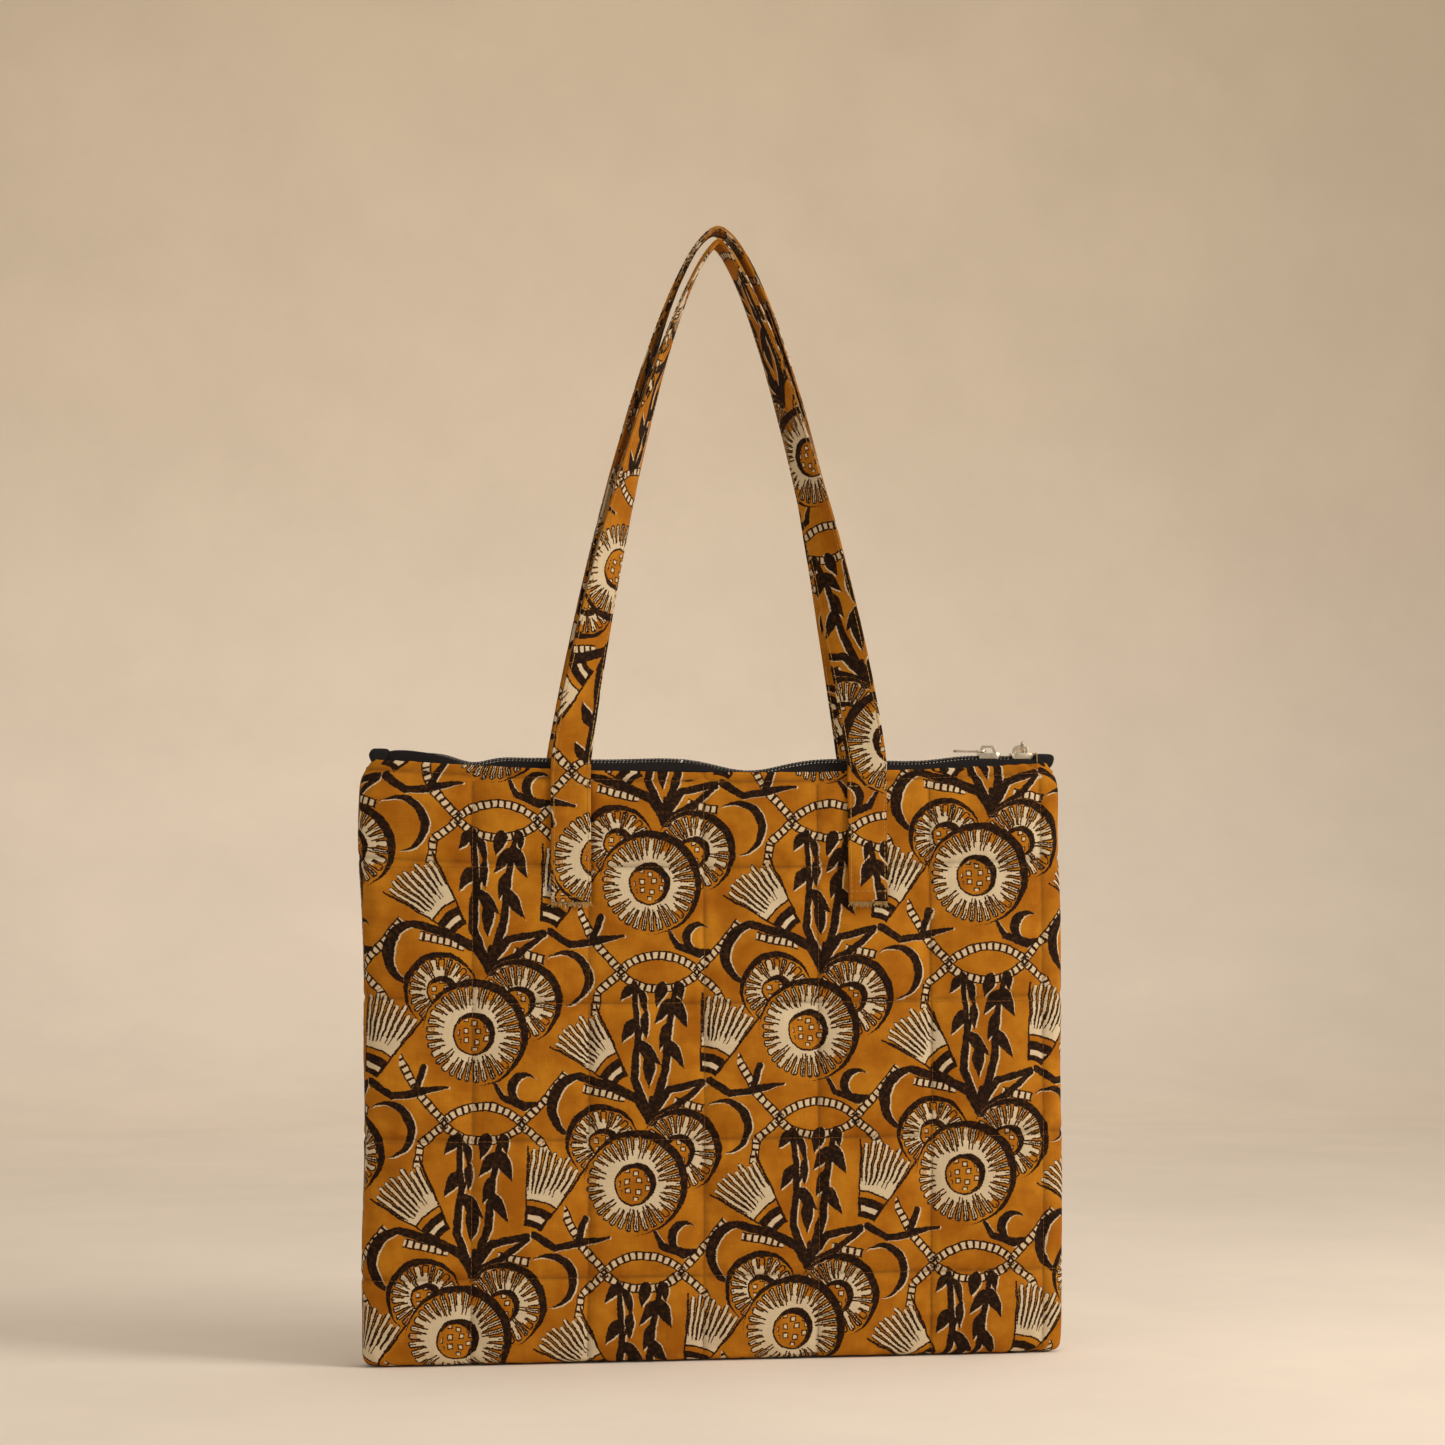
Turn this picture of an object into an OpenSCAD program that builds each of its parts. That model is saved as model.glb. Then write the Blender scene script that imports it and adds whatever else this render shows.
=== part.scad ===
// Quilted cotton knitting bag with a two-way coil zip and two strap handles.
// The bag stands on its base with its front towards -Y; z = 0 is the floor.

/* [Bag] */
// Width of the bag across its side edges
bag_w = 380; // [300:1:460]
// Height of the panels' top edge at mid width
top_mid_h = 316; // [240:1:380]
// Extra height of the top edge at the side edges
top_rise = 6.2; // [0:0.1:6.2]
// Thickness of the bag at the top edge
top_depth = 24; // [22:0.5:30]
// Extra thickness at the belly, where the bag is fullest
belly = 10; // [0:0.5:30]
// How square the bag is in plan: 2 is an oval, 8 nearly a box
squareness = 7; // [6:0.5:10]
// Rounding of the base's long edges
base_r = 4; // [3.2:0.1:6]
// Rounding of the four corners seen from the front
corner_r = 6; // [4:0.5:14]

/* [Quilted layers] */
// Thickness of the printed cotton cover
cover_t = 1.2; // [0.8:0.1:1.6]
// Thickness of the wadding
wadding_t = 2.6; // [1.5:0.1:3]
// Thickness of the lining
lining_t = 1.0; // [0.6:0.1:1.2]
// How far the wadding stops below the top edge
wadding_drop = 16; // [15.5:0.5:30]
// How far the lining stops below the top edge
lining_drop = 3.2; // [3:0.1:6]
// Width of the binding over the raw seam inside the bag
binding_w = 8; // [5:0.5:12]
// Thickness of the bound seam
binding_t = 4; // [2:0.5:6]
// How far the binding's ends stop below the top edge
binding_drop = 18; // [14:1:40]

/* [Zip] */
// Height, above the top edge at mid width, of the folds that the zip's halves turn on
fold_lift = 0.5; // [0.2:0.1:1.2]
// Height of the tape's flat strip above the folds
zip_rise = 7.5; // [7:0.1:9]
// Distance between the two folds
fold_gap = 19; // [18.6:0.1:19.2]
// Width of the flat strip on which the coils lie
flat_w = 9.2; // [9:0.1:10]
// Gap between the two tapes' inner edges
tape_gap = 2.4; // [2.2:0.1:3]
// Thickness of the zip tape
tape_t = 0.7; // [0.4:0.1:0.9]
// Depth of the tape sewn into the panel
hem_depth = 11; // [6:0.5:11]
// Distance of the tape's ends from the bag's side edges
tape_inset = 11.5; // [10:0.5:11.5]
// Length of each end of the tape that isn't sewn to the panel
free_end = 18.5; // [15:0.5:21]
// Length of zip that stays closed at the left end
closed_left = 28.5; // [26.5:0.5:58]
// Length of zip that stays closed behind the left slider's place
closed_right = 21; // [21:0.5:40]
// Pitch of the coil's turns on one tape
coil_pitch = 2.0; // [1.9:0.1:2.6]
// Thickness of the coil
coil_t = 1.8; // [1.4:0.1:2]
// Width of both coils closed together
chain_w = 6; // [5.6:0.1:6.2]
// How far the turns reach past the middle
turn_reach = 0.9; // [0.7:0.1:1]

/* [Sliders] */
// Length of a slider's body
slider_l = 12; // [11:0.5:13]
// Width of a slider's body
slider_w = 8.6; // [8.2:0.1:8.6]
// Thickness of a slider's plates
plate_t = 1.3; // [0.8:0.1:1.3]
// Clearance between a slider and the zip
slider_gap = 0.3; // [0.2:0.05:0.35]
// Distance of the right slider's middle from the tape's end
slider_inset = 8.5; // [8.5:0.5:9.5]
// Distance between the two sliders' middles
slider_pitch = 18; // [17:0.5:22]
// Width of the crown that holds the pull
crown_w = 1.8; // [1.4:0.1:2]
// Thickness of the crown's bar
crown_t = 1.3; // [1:0.1:1.5]
// Height of the slot under the crown's bar
crown_slot = 3; // [2.9:0.1:3.3]
// Length of a pull, from its pivot to its tip
pull_l = 18; // [15:0.5:19]
// Width of a pull
pull_w = 5.4; // [4.8:0.1:5.6]
// Thickness of a pull
pull_t = 1.3; // [0.9:0.1:1.3]
// Radius of the hole in the pull's eye
eye_r = 2.1; // [2.1:0.05:2.2]
// Width of the metal around the eye
eye_w = 1.1; // [0.8:0.05:1.1]

/* [End tabs] */
// Length of the folded tab at each end of the zip
tab_l = 12; // [8:0.5:12]
// Width of the tab
tab_w = 13; // [12:0.5:16]
// Thickness of the tab's fabric
tab_t = 1.2; // [0.8:0.1:1.2]

/* [Handles] */
// Width of the strap
strap_w = 22; // [14:0.5:26]
// Thickness of the strap
strap_t = 3; // [2:0.1:3.5]
// Distance of the strap's ends from the middle
strap_x = 81; // [60:1:110]
// Length of strap sewn to the panel
strap_sewn = 71; // [40:1:90]
// Height, above the top edge at mid width, at which the straps leave the panels
strap_lift = 1; // [0.5:0.1:2]
// Rise of the front handle above that height
front_rise = 286; // [220:1:320]
// Rise of the back handle above that height
back_rise = 293.5; // [228:0.5:330]
// Distance of a handle's top from the bag's middle plane
top_offset = 1.5; // [0.5:0.1:4]
// Clearance between a moving strap and what it lies beside
strap_gap = 0.5; // [0.45:0.05:0.7]

/* [Hidden] */
$fn = 48;

eps = 0.02;             // clearance between faces sewn or pressed together
layer_gap = 0.16;       // clearance between the faceted layers of a panel
seam_gap = 0.05;        // a strap end's clearance over the faceted cover
across = 20;            // steps of a panel's skin from side edge to side edge
upward = 14;            // steps of a panel's skin above its base's rounding
crowding = 1.35;        // how much closer those steps lie towards the top edge
base_steps = 3;         // steps of the base's rounding
handle_steps = 56;      // steps along a handle's arch
foot_rise = 3;          // upright stretch of a handle above its fold
body_gap = 0.3;         // clearance between the zip's flaps and what stays fixed

half_w = bag_w / 2;
tape_half = half_w - tape_inset;
hem_half = tape_half - free_end;
right_slider_x = tape_half - slider_inset;
left_slider_x = right_slider_x - slider_pitch;
open_left = tape_half - closed_left;
open_right = left_slider_x - closed_right;
wadding_off = cover_t + layer_gap;
lining_off = wadding_off + wadding_t + layer_gap;
wall_t = lining_off + lining_t;
strap_h = top_mid_h + strap_lift;
strap_h_fold = strap_h + body_gap;
fold_h = top_mid_h + fold_lift;
tape_z = fold_h + zip_rise;
coil_z = tape_z + tape_t / 2 + eps;
coil_top = coil_z + coil_t;
plate_top = coil_top + slider_gap + plate_t;
bar_z = plate_top + crown_slot + crown_t / 2;
// The left pull lies on its slider's plate, and turns about its eye's inner end
lying_gap = 0.45;
left_pivot_z = plate_top + lying_gap + pull_t / 2;
eye_mid = eye_r + eye_w / 2;

// ---- quilted panels: skins of one rounded bag form, each offset inwards ----

function top_z(x) = top_mid_h + top_rise * pow(abs(x) / half_w, 2);

// Half thickness of the bag at a height
function half_depth(z) =
    (top_depth + belly * sin(180 * pow(min(max(z, 0) / top_mid_h, 1), 0.8))) / 2;

// Half width of the bag at a height: rounded at the base and at the top
function half_width(z, off) =
    let (r = max(corner_r - off, 0.8), low = min(max(z - off, 0), r),
         high = max(z - (top_mid_h - 2 * corner_r), 0) / (2 * corner_r + top_rise))
    half_w - off - r + sqrt(r * r - (r - low) * (r - low)) - corner_r * pow(high, 3);

// A skin's rows from the middle of the base to the top edge: [kind, amount]
rows = concat([["base", 0]],
              [for (i = [0:base_steps]) ["edge", 90 * i / base_steps]],
              [for (j = [1:upward]) ["side", 1 - pow(1 - j / upward, crowding)]]);

function squash_x(a) = sign(sin(a)) * pow(abs(sin(a)), 2 / squareness);
function squash_y(a) = pow(abs(cos(a)), 2 / squareness);

function skin_point(a, row, off, drop) =
    let (r = max(base_r - off, 0.6),
         rim = top_z(half_w * squash_x(a)) - drop,
         foot = off + r,
         z = row[0] == "base" ? off
           : row[0] == "edge" ? off + r * (1 - cos(row[1]))
           : foot + (rim - foot) * row[1],
         deep = row[0] == "base" ? 0
              : row[0] == "edge" ? half_depth(z) - off - r * (1 - sin(row[1]))
              : half_depth(z) - off)
    [half_width(z, off) * squash_x(a), -deep * squash_y(a), z];

// Closed layer between the skins at off and off + t
module layer(off, t, drop) {
    n = across + 1;
    m = len(rows);
    points = concat(
        [for (row = rows) for (i = [0:across]) skin_point(-90 + 180 * i / across, row, off, drop)],
        [for (row = rows) for (i = [0:across]) skin_point(-90 + 180 * i / across, row, off + t, drop)]);
    inner = n * m;
    function quad(a, b, c, d) = [[a, b, c], [a, c, d]];
    faces = concat(
        [for (j = [0:m - 2]) for (i = [0:across - 1])
            each quad(j * n + i, j * n + i + n, j * n + i + n + 1, j * n + i + 1)],
        [for (j = [0:m - 2]) for (i = [0:across - 1])
            each quad(inner + j * n + i, inner + j * n + i + 1,
                      inner + j * n + i + n + 1, inner + j * n + i + n)],
        [for (i = [0:across - 1]) each quad(i, i + 1, inner + i + 1, inner + i)],
        [for (i = [0:across - 1])
            each quad((m - 1) * n + i, inner + (m - 1) * n + i,
                      inner + (m - 1) * n + i + 1, (m - 1) * n + i + 1)],
        [for (j = [0:m - 2]) each quad(j * n, inner + j * n, inner + j * n + n, j * n + n)],
        [for (j = [0:m - 2])
            each quad(j * n + across, j * n + across + n,
                      inner + j * n + across + n, inner + j * n + across)]);
    polyhedron(points, faces, convexity = 8);
}

module front_cover() { color("goldenrod") layer(0, cover_t, 0); }
module front_wadding() { color("ivory") layer(wadding_off, wadding_t, wadding_drop); }
module front_lining() { color("darkgoldenrod") layer(lining_off, lining_t, lining_drop); }
module back_cover() { mirror([0, 1, 0]) front_cover(); }
module back_wadding() { mirror([0, 1, 0]) front_wadding(); }
module back_lining() { mirror([0, 1, 0]) front_lining(); }

// Bias strip over the raw edges where the panels join, down both sides and along the base
module seam_binding() {
    side = half_w - wall_t - 1;
    foot = wall_t + 1;
    rim = top_mid_h - binding_drop;
    color("saddlebrown")
    translate([0, binding_t / 2, 0])
    rotate([90, 0, 0])
    linear_extrude(binding_t)
    polygon([
        [-side, rim], [-side, foot + corner_r], [-side + corner_r, foot],
        [side - corner_r, foot], [side, foot + corner_r], [side, rim],
        [side - binding_w, rim], [side - binding_w, foot + binding_w + corner_r],
        [side - binding_w - corner_r, foot + binding_w],
        [-side + binding_w + corner_r, foot + binding_w],
        [-side + binding_w, foot + binding_w + corner_r], [-side + binding_w, rim]
    ]);
}

// ---- handles ----

// Extrudes a profile drawn in depth (y) and height (z) from x0 to x1
module along_x(x0, x1) {
    translate([x0, 0, 0])
    rotate([90, 0, 90])
    linear_extrude(x1 - x0)
    children();
}

// Strap end that lies on the front cover and follows its curve
module strap_end(x) {
    steps = 8;
    low = strap_h - strap_sewn;
    function face(z, out) = [-half_depth(z) - seam_gap - out, z];
    along_x(x - strap_w / 2, x + strap_w / 2)
    polygon(concat(
        [for (i = [0:steps]) face(low + strap_sewn * i / steps, 0)],
        [for (i = [steps:-1:0]) face(low + strap_sewn * i / steps, strap_t)]));
}

module front_left_strap_end() { color("peru") strap_end(-strap_x); }
module front_right_strap_end() { color("peru") strap_end(strap_x); }
module back_left_strap_end() { color("peru") mirror([0, 1, 0]) strap_end(-strap_x); }
module back_right_strap_end() { color("peru") mirror([0, 1, 0]) strap_end(strap_x); }

foot_y = half_depth(strap_h) + strap_gap + strap_t / 2;

// Middle line of a handle: an arch from foot to foot, leaning over the bag
function arch(t, rise, fullness, lift, side) =
    let (h = pow(sin(t), lift))
    [-strap_x * sign(cos(t)) * pow(abs(cos(t)), fullness),
     side * (foot_y + (top_offset - foot_y) * h),
     strap_h_fold + foot_rise + rise * h];

function unit(v) = v / norm(v);

// Four corners of the strap round a point of its middle line
function strap_corners(here, along, flat) =
    let (wide = unit(flat - along * (flat * along)), thick = cross(along, wide))
    [for (c = [[-1, -1], [1, -1], [1, 1], [-1, 1]])
        here + wide * (c[0] * strap_w / 2) + thick * (c[1] * strap_t / 2)];

// The strap at step t of the arch; it turns from flat at the foot to edge-on at the top
function strap_ring(t, rise, fullness, lift, side) =
    let (step = 0.4,
         here = arch(t, rise, fullness, lift, side),
         up = [0, 0, t < 90 ? 1 : -1],
         along = t < step || t > 180 - step ? up
               : unit(arch(t + step, rise, fullness, lift, side)
                      - arch(t - step, rise, fullness, lift, side)),
         turn = 90 * pow(sin(t), 1.43),
         swing = t < 90 ? turn : 180 - turn)
    strap_corners(here, along, [cos(swing), sin(swing), 0]);

// The strap's end face at its fold
function foot_ring(left, side) =
    strap_corners([left ? -strap_x : strap_x, side * foot_y, strap_h_fold],
                  [0, 0, left ? 1 : -1], [left ? 1 : -1, 0, 0]);

module handle(rise, fullness, lift, side) {
    points = concat(
        foot_ring(true, side),
        [for (i = [0:handle_steps])
            each strap_ring(180 * i / handle_steps, rise, fullness, lift, side)],
        foot_ring(false, side));
    spans = handle_steps + 2;
    function corner(i, k) = 4 * i + k % 4;
    sides = [for (i = [0:spans - 1]) for (k = [0:3])
        each [[corner(i, k), corner(i + 1, k + 1), corner(i, k + 1)],
              [corner(i, k), corner(i + 1, k), corner(i + 1, k + 1)]]];
    last = 4 * spans;
    ends = [[0, 2, 3], [0, 1, 2], [last, last + 2, last + 1], [last, last + 3, last + 2]];
    polyhedron(points, concat(sides, ends), convexity = 6);
}

module front_handle() { color("peru") handle(front_rise, 2 / 1.4, 2 / 1.15, -1); }
module back_handle() { color("peru") handle(back_rise, 2 / 1.7, 2 / 1.04, 1); }

// ---- zip ----

fold_y = fold_gap / 2;
flat_y = flat_w / 2;
edge_y = tape_gap / 2;

// Strip of thickness t along a line of points, for the tape's profile
function strip(line, t) =
    let (n = len(line),
         dir = [for (i = [0:n - 2]) unit(line[i + 1] - line[i])],
         side = [for (i = [0:n - 1])
             let (a = dir[max(i - 1, 0)], b = dir[min(i, n - 2)], m = unit(a + b))
             [-m[1], m[0]] * (t / 2) / (m * b)])
    concat([for (i = [0:n - 1]) line[i] + side[i]],
           [for (i = [n - 1:-1:0]) line[i] - side[i]]);

slope = [[-fold_y, fold_h], [-flat_y, tape_z], [-edge_y, tape_z]];
hem_foot = [-fold_y, fold_h - hem_depth];

// Half of the zip tape that stays put: the sewn hem and the closed ends
module zip_tape() {
    hem_top = fold_h - tape_t / 2 - body_gap;
    along_x(-hem_half, -open_left - body_gap) polygon(strip(concat([hem_foot], slope), tape_t));
    along_x(open_right + body_gap, hem_half) polygon(strip(concat([hem_foot], slope), tape_t));
    along_x(-open_left - body_gap, open_right + body_gap)
    polygon(strip([hem_foot, [-fold_y, hem_top]], tape_t));
    for (x = [-tape_half, hem_half])
        along_x(x, x + tape_half - hem_half) polygon(strip([slope[1], slope[2]], tape_t));
}

module zip_flap() { along_x(-open_left, open_right) polygon(strip(slope, tape_t)); }

module front_zip_tape() { color("#1c1a1a") zip_tape(); }
module back_zip_tape() { color("#1c1a1a") mirror([0, 1, 0]) zip_tape(); }
module front_zip_flap() { color("#1c1a1a") zip_flap(); }
module back_zip_flap() { color("#1c1a1a") mirror([0, 1, 0]) zip_flap(); }

// One tape's coil from x0 to x1: a spine with a turn at each pitch, its head wider than its
// neck, so that the turns of both coils lock. shift moves the turns by a share of the pitch.
module coil(x0, x1, shift) {
    spine_out = chain_w / 2;
    spine_in = spine_out - 1.1;
    neck = 0.12 * coil_pitch;
    head = 0.18 * coil_pitch;
    first = ceil((x0 + head) / coil_pitch - shift);
    last = floor((x1 - head) / coil_pitch - shift);
    turns = [for (i = [first:last])
        let (x = (i + shift) * coil_pitch)
        each [[x - neck, -spine_in], [x - head, turn_reach / 2], [x - head / 2, turn_reach],
              [x + head / 2, turn_reach], [x + head, turn_reach / 2], [x + neck, -spine_in]]];
    translate([0, 0, coil_z])
    linear_extrude(coil_t)
    polygon(concat([[x1, -spine_in], [x1, -spine_out], [x0, -spine_out], [x0, -spine_in]], turns));
}

module front_coil() { color("#101010") coil(-open_left, open_right, 0); }
module back_coil() { color("#101010") mirror([0, 1, 0]) coil(-open_left, open_right, 0.5); }

module coil_ends(x0, x1) {
    coil(x0, x1, 0);
    mirror([0, 1, 0]) coil(x0, x1, 0.5);
}
module left_coil_ends() { color("#101010") coil_ends(-tape_half, -open_left - body_gap); }
module right_coil_ends() { color("#101010") coil_ends(open_right + body_gap, tape_half); }

// Outline of a slider's plate, with its nose towards +X
module plate(low, t) {
    translate([0, 0, low])
    linear_extrude(t)
    polygon([
        [-slider_l / 2, -0.8 * slider_w / 2], [slider_l / 5, -slider_w / 2],
        [slider_l / 3, -slider_w / 2], [slider_l / 2, -0.7 * slider_w / 2],
        [slider_l / 2, 0.7 * slider_w / 2], [slider_l / 3, slider_w / 2],
        [slider_l / 5, slider_w / 2], [-slider_l / 2, 0.8 * slider_w / 2]
    ]);
}

// Rear leg of the crown, which the pull's eye goes round, and its slot
leg_out = -4.4;
leg_in = leg_out + crown_t;
slot_end = 2.2;

// Slider: a channel whose flanges leave slots for the tapes, and the crown on its top plate
module slider() {
    flange_in = chain_w / 2 + slider_gap + 0.05;
    flange_low = tape_z + tape_t / 2 + slider_gap;
    top_low = plate_top - plate_t;
    bottom_top = tape_z - tape_t / 2 - slider_gap;
    bar_low = bar_z - crown_t / 2;
    bar_high = bar_z + crown_t / 2;
    seat = plate_top - 0.3;
    plate(top_low, plate_t);
    difference() {
        plate(flange_low, top_low - flange_low);
        translate([-slider_l, -flange_in, flange_low - 1])
        cube([2 * slider_l, 2 * flange_in, top_low - flange_low + 2]);
    }
    plate(bottom_top - plate_t, plate_t);
    translate([0, crown_w / 2, 0])
    rotate([90, 0, 0])
    linear_extrude(crown_w)
    polygon([
        [leg_out, seat], [leg_out, bar_low + 0.3], [leg_out + 1, bar_high],
        [slot_end, bar_high], [slot_end + 1.6, bar_low], [slot_end + 2.6, seat],
        [slot_end + 0.8, seat], [slot_end, bar_low - 0.6], [slot_end - 0.8, bar_low],
        [leg_in, bar_low], [leg_in, seat]
    ]);
}

module left_slider() { color("silver") translate([left_slider_x, 0, 0]) slider(); }
module right_slider() { color("silver") translate([right_slider_x, 0, 0]) mirror([1, 0, 0]) slider(); }

// Pull lying flat along -X from its eye's centre at the origin: eye, waist and rounded tab
module pull(length) {
    tip = length - pull_w / 2;
    difference() {
        union() {
            cylinder(h = pull_t, r = eye_r + eye_w);
            linear_extrude(pull_t)
            polygon([
                [-eye_r, -0.6 * pull_w / 2], [-tip + 4, -pull_w / 2], [-tip, -pull_w / 2],
                [-tip, pull_w / 2], [-tip + 4, pull_w / 2], [-eye_r, 0.6 * pull_w / 2]
            ]);
            translate([-tip, 0, 0]) cylinder(h = pull_t, r = pull_w / 2);
        }
        translate([0, 0, -1]) cylinder(h = pull_t + 2, r = eye_r);
    }
}

// Centre of the left eye, round the crown's rear leg
left_eye_x = left_slider_x + leg_in - eye_r + 0.7;

module left_pull() {
    color("silver")
    translate([left_eye_x, 0, left_pivot_z - pull_t / 2])
    pull(pull_l - eye_mid);
}

// The right pull hangs over the back edge, its eye round the crown's bar
eye_shift = 0.75;
right_pull_x = right_slider_x + 1.6;
hang = 8;

module right_pull() {
    color("silver")
    translate([right_pull_x - pull_t / 2, 0, bar_z])
    rotate([-hang, 0, 0])
    translate([0, eye_shift, 0])
    rotate([0, 90, 0])
    rotate([0, 0, -90])
    pull(pull_l - eye_shift);
}

// Folded tab over one end of the tapes, sewn down on the panels' corner
module end_tab() {
    low = tape_z - tape_t / 2 - eps;
    high = coil_top + eps;
    outer = tape_half - 2 + tab_l;
    translate([0, tab_w / 2, 0])
    rotate([90, 0, 0])
    linear_extrude(tab_w)
    polygon([
        [tape_half - 2, low - tab_t], [outer - 1, low - tab_t], [outer, low],
        [outer, high], [outer - 1, high + tab_t], [tape_half - 2, high + tab_t],
        [tape_half - 2, high], [tape_half + eps, high], [tape_half + eps, low],
        [tape_half - 2, low]
    ]);
}

module right_end_tab() { color("#1c1a1a") end_tab(); }
module left_end_tab() { color("#1c1a1a") mirror([1, 0, 0]) end_tab(); }

front_cover();
front_wadding();
front_lining();
back_cover();
back_wadding();
back_lining();
seam_binding();
front_left_strap_end();
front_right_strap_end();
back_left_strap_end();
back_right_strap_end();
front_handle();
back_handle();
front_zip_tape();
back_zip_tape();
front_zip_flap();
back_zip_flap();
front_coil();
back_coil();
left_coil_ends();
right_coil_ends();
left_slider();
right_slider();
left_pull();
right_pull();
left_end_tab();
right_end_tab();
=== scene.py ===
import math

import bmesh
import bpy
import numpy as np
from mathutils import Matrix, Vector, noise
from mathutils.bvhtree import BVHTree


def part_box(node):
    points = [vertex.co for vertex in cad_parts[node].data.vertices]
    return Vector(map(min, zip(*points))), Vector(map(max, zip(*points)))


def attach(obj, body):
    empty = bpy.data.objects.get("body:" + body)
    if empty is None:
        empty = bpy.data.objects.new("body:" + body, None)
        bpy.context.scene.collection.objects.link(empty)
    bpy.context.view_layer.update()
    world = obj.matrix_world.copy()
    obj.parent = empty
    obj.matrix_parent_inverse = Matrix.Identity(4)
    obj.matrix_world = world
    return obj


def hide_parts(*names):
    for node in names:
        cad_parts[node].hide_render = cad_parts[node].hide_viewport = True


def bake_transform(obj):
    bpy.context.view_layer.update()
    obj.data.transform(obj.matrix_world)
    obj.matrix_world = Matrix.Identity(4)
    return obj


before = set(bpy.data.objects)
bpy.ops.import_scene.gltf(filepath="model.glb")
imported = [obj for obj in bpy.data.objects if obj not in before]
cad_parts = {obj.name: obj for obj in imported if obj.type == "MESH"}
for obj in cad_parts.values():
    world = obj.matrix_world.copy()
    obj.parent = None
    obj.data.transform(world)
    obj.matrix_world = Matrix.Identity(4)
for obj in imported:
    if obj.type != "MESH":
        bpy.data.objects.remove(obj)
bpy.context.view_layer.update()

mm = 0.001

# ---------------------------------------------------------------------------------------------
# The cloth. Plain-woven cotton, dyed mustard and block-printed by hand in dark brown over a
# resist that kept the motifs pale. The pale and the dark blocks never meet quite exactly.
# ---------------------------------------------------------------------------------------------


def put(socket, value):
    """Links a socket to another one, or gives it a plain value."""
    if isinstance(value, bpy.types.NodeSocket):
        socket.id_data.links.new(value, socket)
    elif value is not None:
        socket.default_value = value


def tree_of(*values):
    """The node tree that these values belong to."""
    return next(value.id_data for value in values if isinstance(value, bpy.types.NodeSocket))


def sum_of(kind, *values):
    node = tree_of(*values).nodes.new("ShaderNodeMath")
    node.operation = kind
    for socket, value in zip(node.inputs, values):
        put(socket, value)
    return node.outputs[0]


def plus(*values):
    return sum_of("ADD", *values)


def minus(*values):
    return sum_of("SUBTRACT", *values)


def times(*values):
    return sum_of("MULTIPLY", *values)


def times_plus(*values):
    return sum_of("MULTIPLY_ADD", *values)


def larger(*values):
    return sum_of("MAXIMUM", *values)


def smaller(*values):
    return sum_of("MINIMUM", *values)


def size_of(value):
    return sum_of("ABSOLUTE", value)


def vector_of(kind, *values, scale=None):
    node = tree_of(*values, scale).nodes.new("ShaderNodeVectorMath")
    node.operation = kind
    for socket, value in zip(node.inputs, values):
        put(socket, value)
    put(node.inputs[3], scale)
    return node.outputs[1 if kind in ("LENGTH", "DISTANCE", "DOT_PRODUCT") else 0]


def parts_of(kind, value):
    """The parts of a vector (XYZ) or of a colour (Color)."""
    node = tree_of(value).nodes.new("ShaderNodeSeparate" + kind)
    put(node.inputs[0], value)
    return node.outputs


def group_of(name, inputs, outputs):
    """Shader node group: inputs are (name, value), outputs are (name, kind)."""
    tree = bpy.data.node_groups.new(name, "ShaderNodeTree")
    for label, value in inputs:
        kind = "NodeSocketVector" if isinstance(value, tuple) else "NodeSocketFloat"
        socket = tree.interface.new_socket(label, in_out="INPUT", socket_type=kind)
        socket.default_value = value
    for label, kind in outputs:
        tree.interface.new_socket(label, in_out="OUTPUT", socket_type="NodeSocket" + kind)
    given = tree.nodes.new("NodeGroupInput").outputs
    made = tree.nodes.new("NodeGroupOutput").inputs
    return tree, given, made


def placed(group, **values):
    """A group's node in a tree; its outputs by name. Underscores in names stand for spaces."""
    node = tree_of(*values.values()).nodes.new("ShaderNodeGroup")
    node.node_tree = group
    for label, value in values.items():
        put(node.inputs[label.replace("_", " ")], value)
    return node.outputs


# The pale of each stroke was printed a little aside from its ink, by this slip in millimetres
slip = (0.8, -0.35, 0)


def along_line(given):
    """How far a place has come from From to To, as a share, and its offset from that line."""
    reach = vector_of("SUBTRACT", given["To"], given["From"])
    offset = vector_of("SUBTRACT", given["Place"], given["From"])
    share = sum_of(
        "DIVIDE", vector_of("DOT_PRODUCT", offset, reach), vector_of("DOT_PRODUCT", reach, reach)
    )
    share = smaller(larger(share, 0.0), 1.0)
    along = vector_of("SCALE", reach, scale=share)
    return share, vector_of("SUBTRACT", offset, along)


def cut_out(made, aside, width):
    """Edge is the distance from the rim, negative inside; Halo is the same for the slipped one."""
    far = vector_of("LENGTH", aside)
    put(made["Edge"], minus(far, width))
    slipped = vector_of("DISTANCE", aside, slip)
    put(made["Halo"], minus(slipped, width))


# One stroke of the block's cutter: straight, with a width at each end
stroke, given, made = group_of(
    "stroke",
    [("Place", (0, 0, 0)), ("From", (0, 0, 0)), ("To", (1, 0, 0)), ("Start", 1.0), ("End", 1.0)],
    [("Edge", "Float"), ("Halo", "Float")],
)
share, aside = along_line(given)
growth = minus(given["End"], given["Start"])
width = times_plus(growth, share, given["Start"])
cut_out(made, aside, width)

# A pointed leaf, widest near its foot
leaf, given, made = group_of(
    "leaf",
    [("Place", (0, 0, 0)), ("From", (0, 0, 0)), ("To", (1, 0, 0)), ("Width", 1.0)],
    [("Edge", "Float"), ("Halo", "Float")],
)
share, aside = along_line(given)
swell = sum_of("SINE", times(sum_of("POWER", share, 0.65), math.pi))
width = times(swell, given["Width"])
cut_out(made, aside, width)

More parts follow.
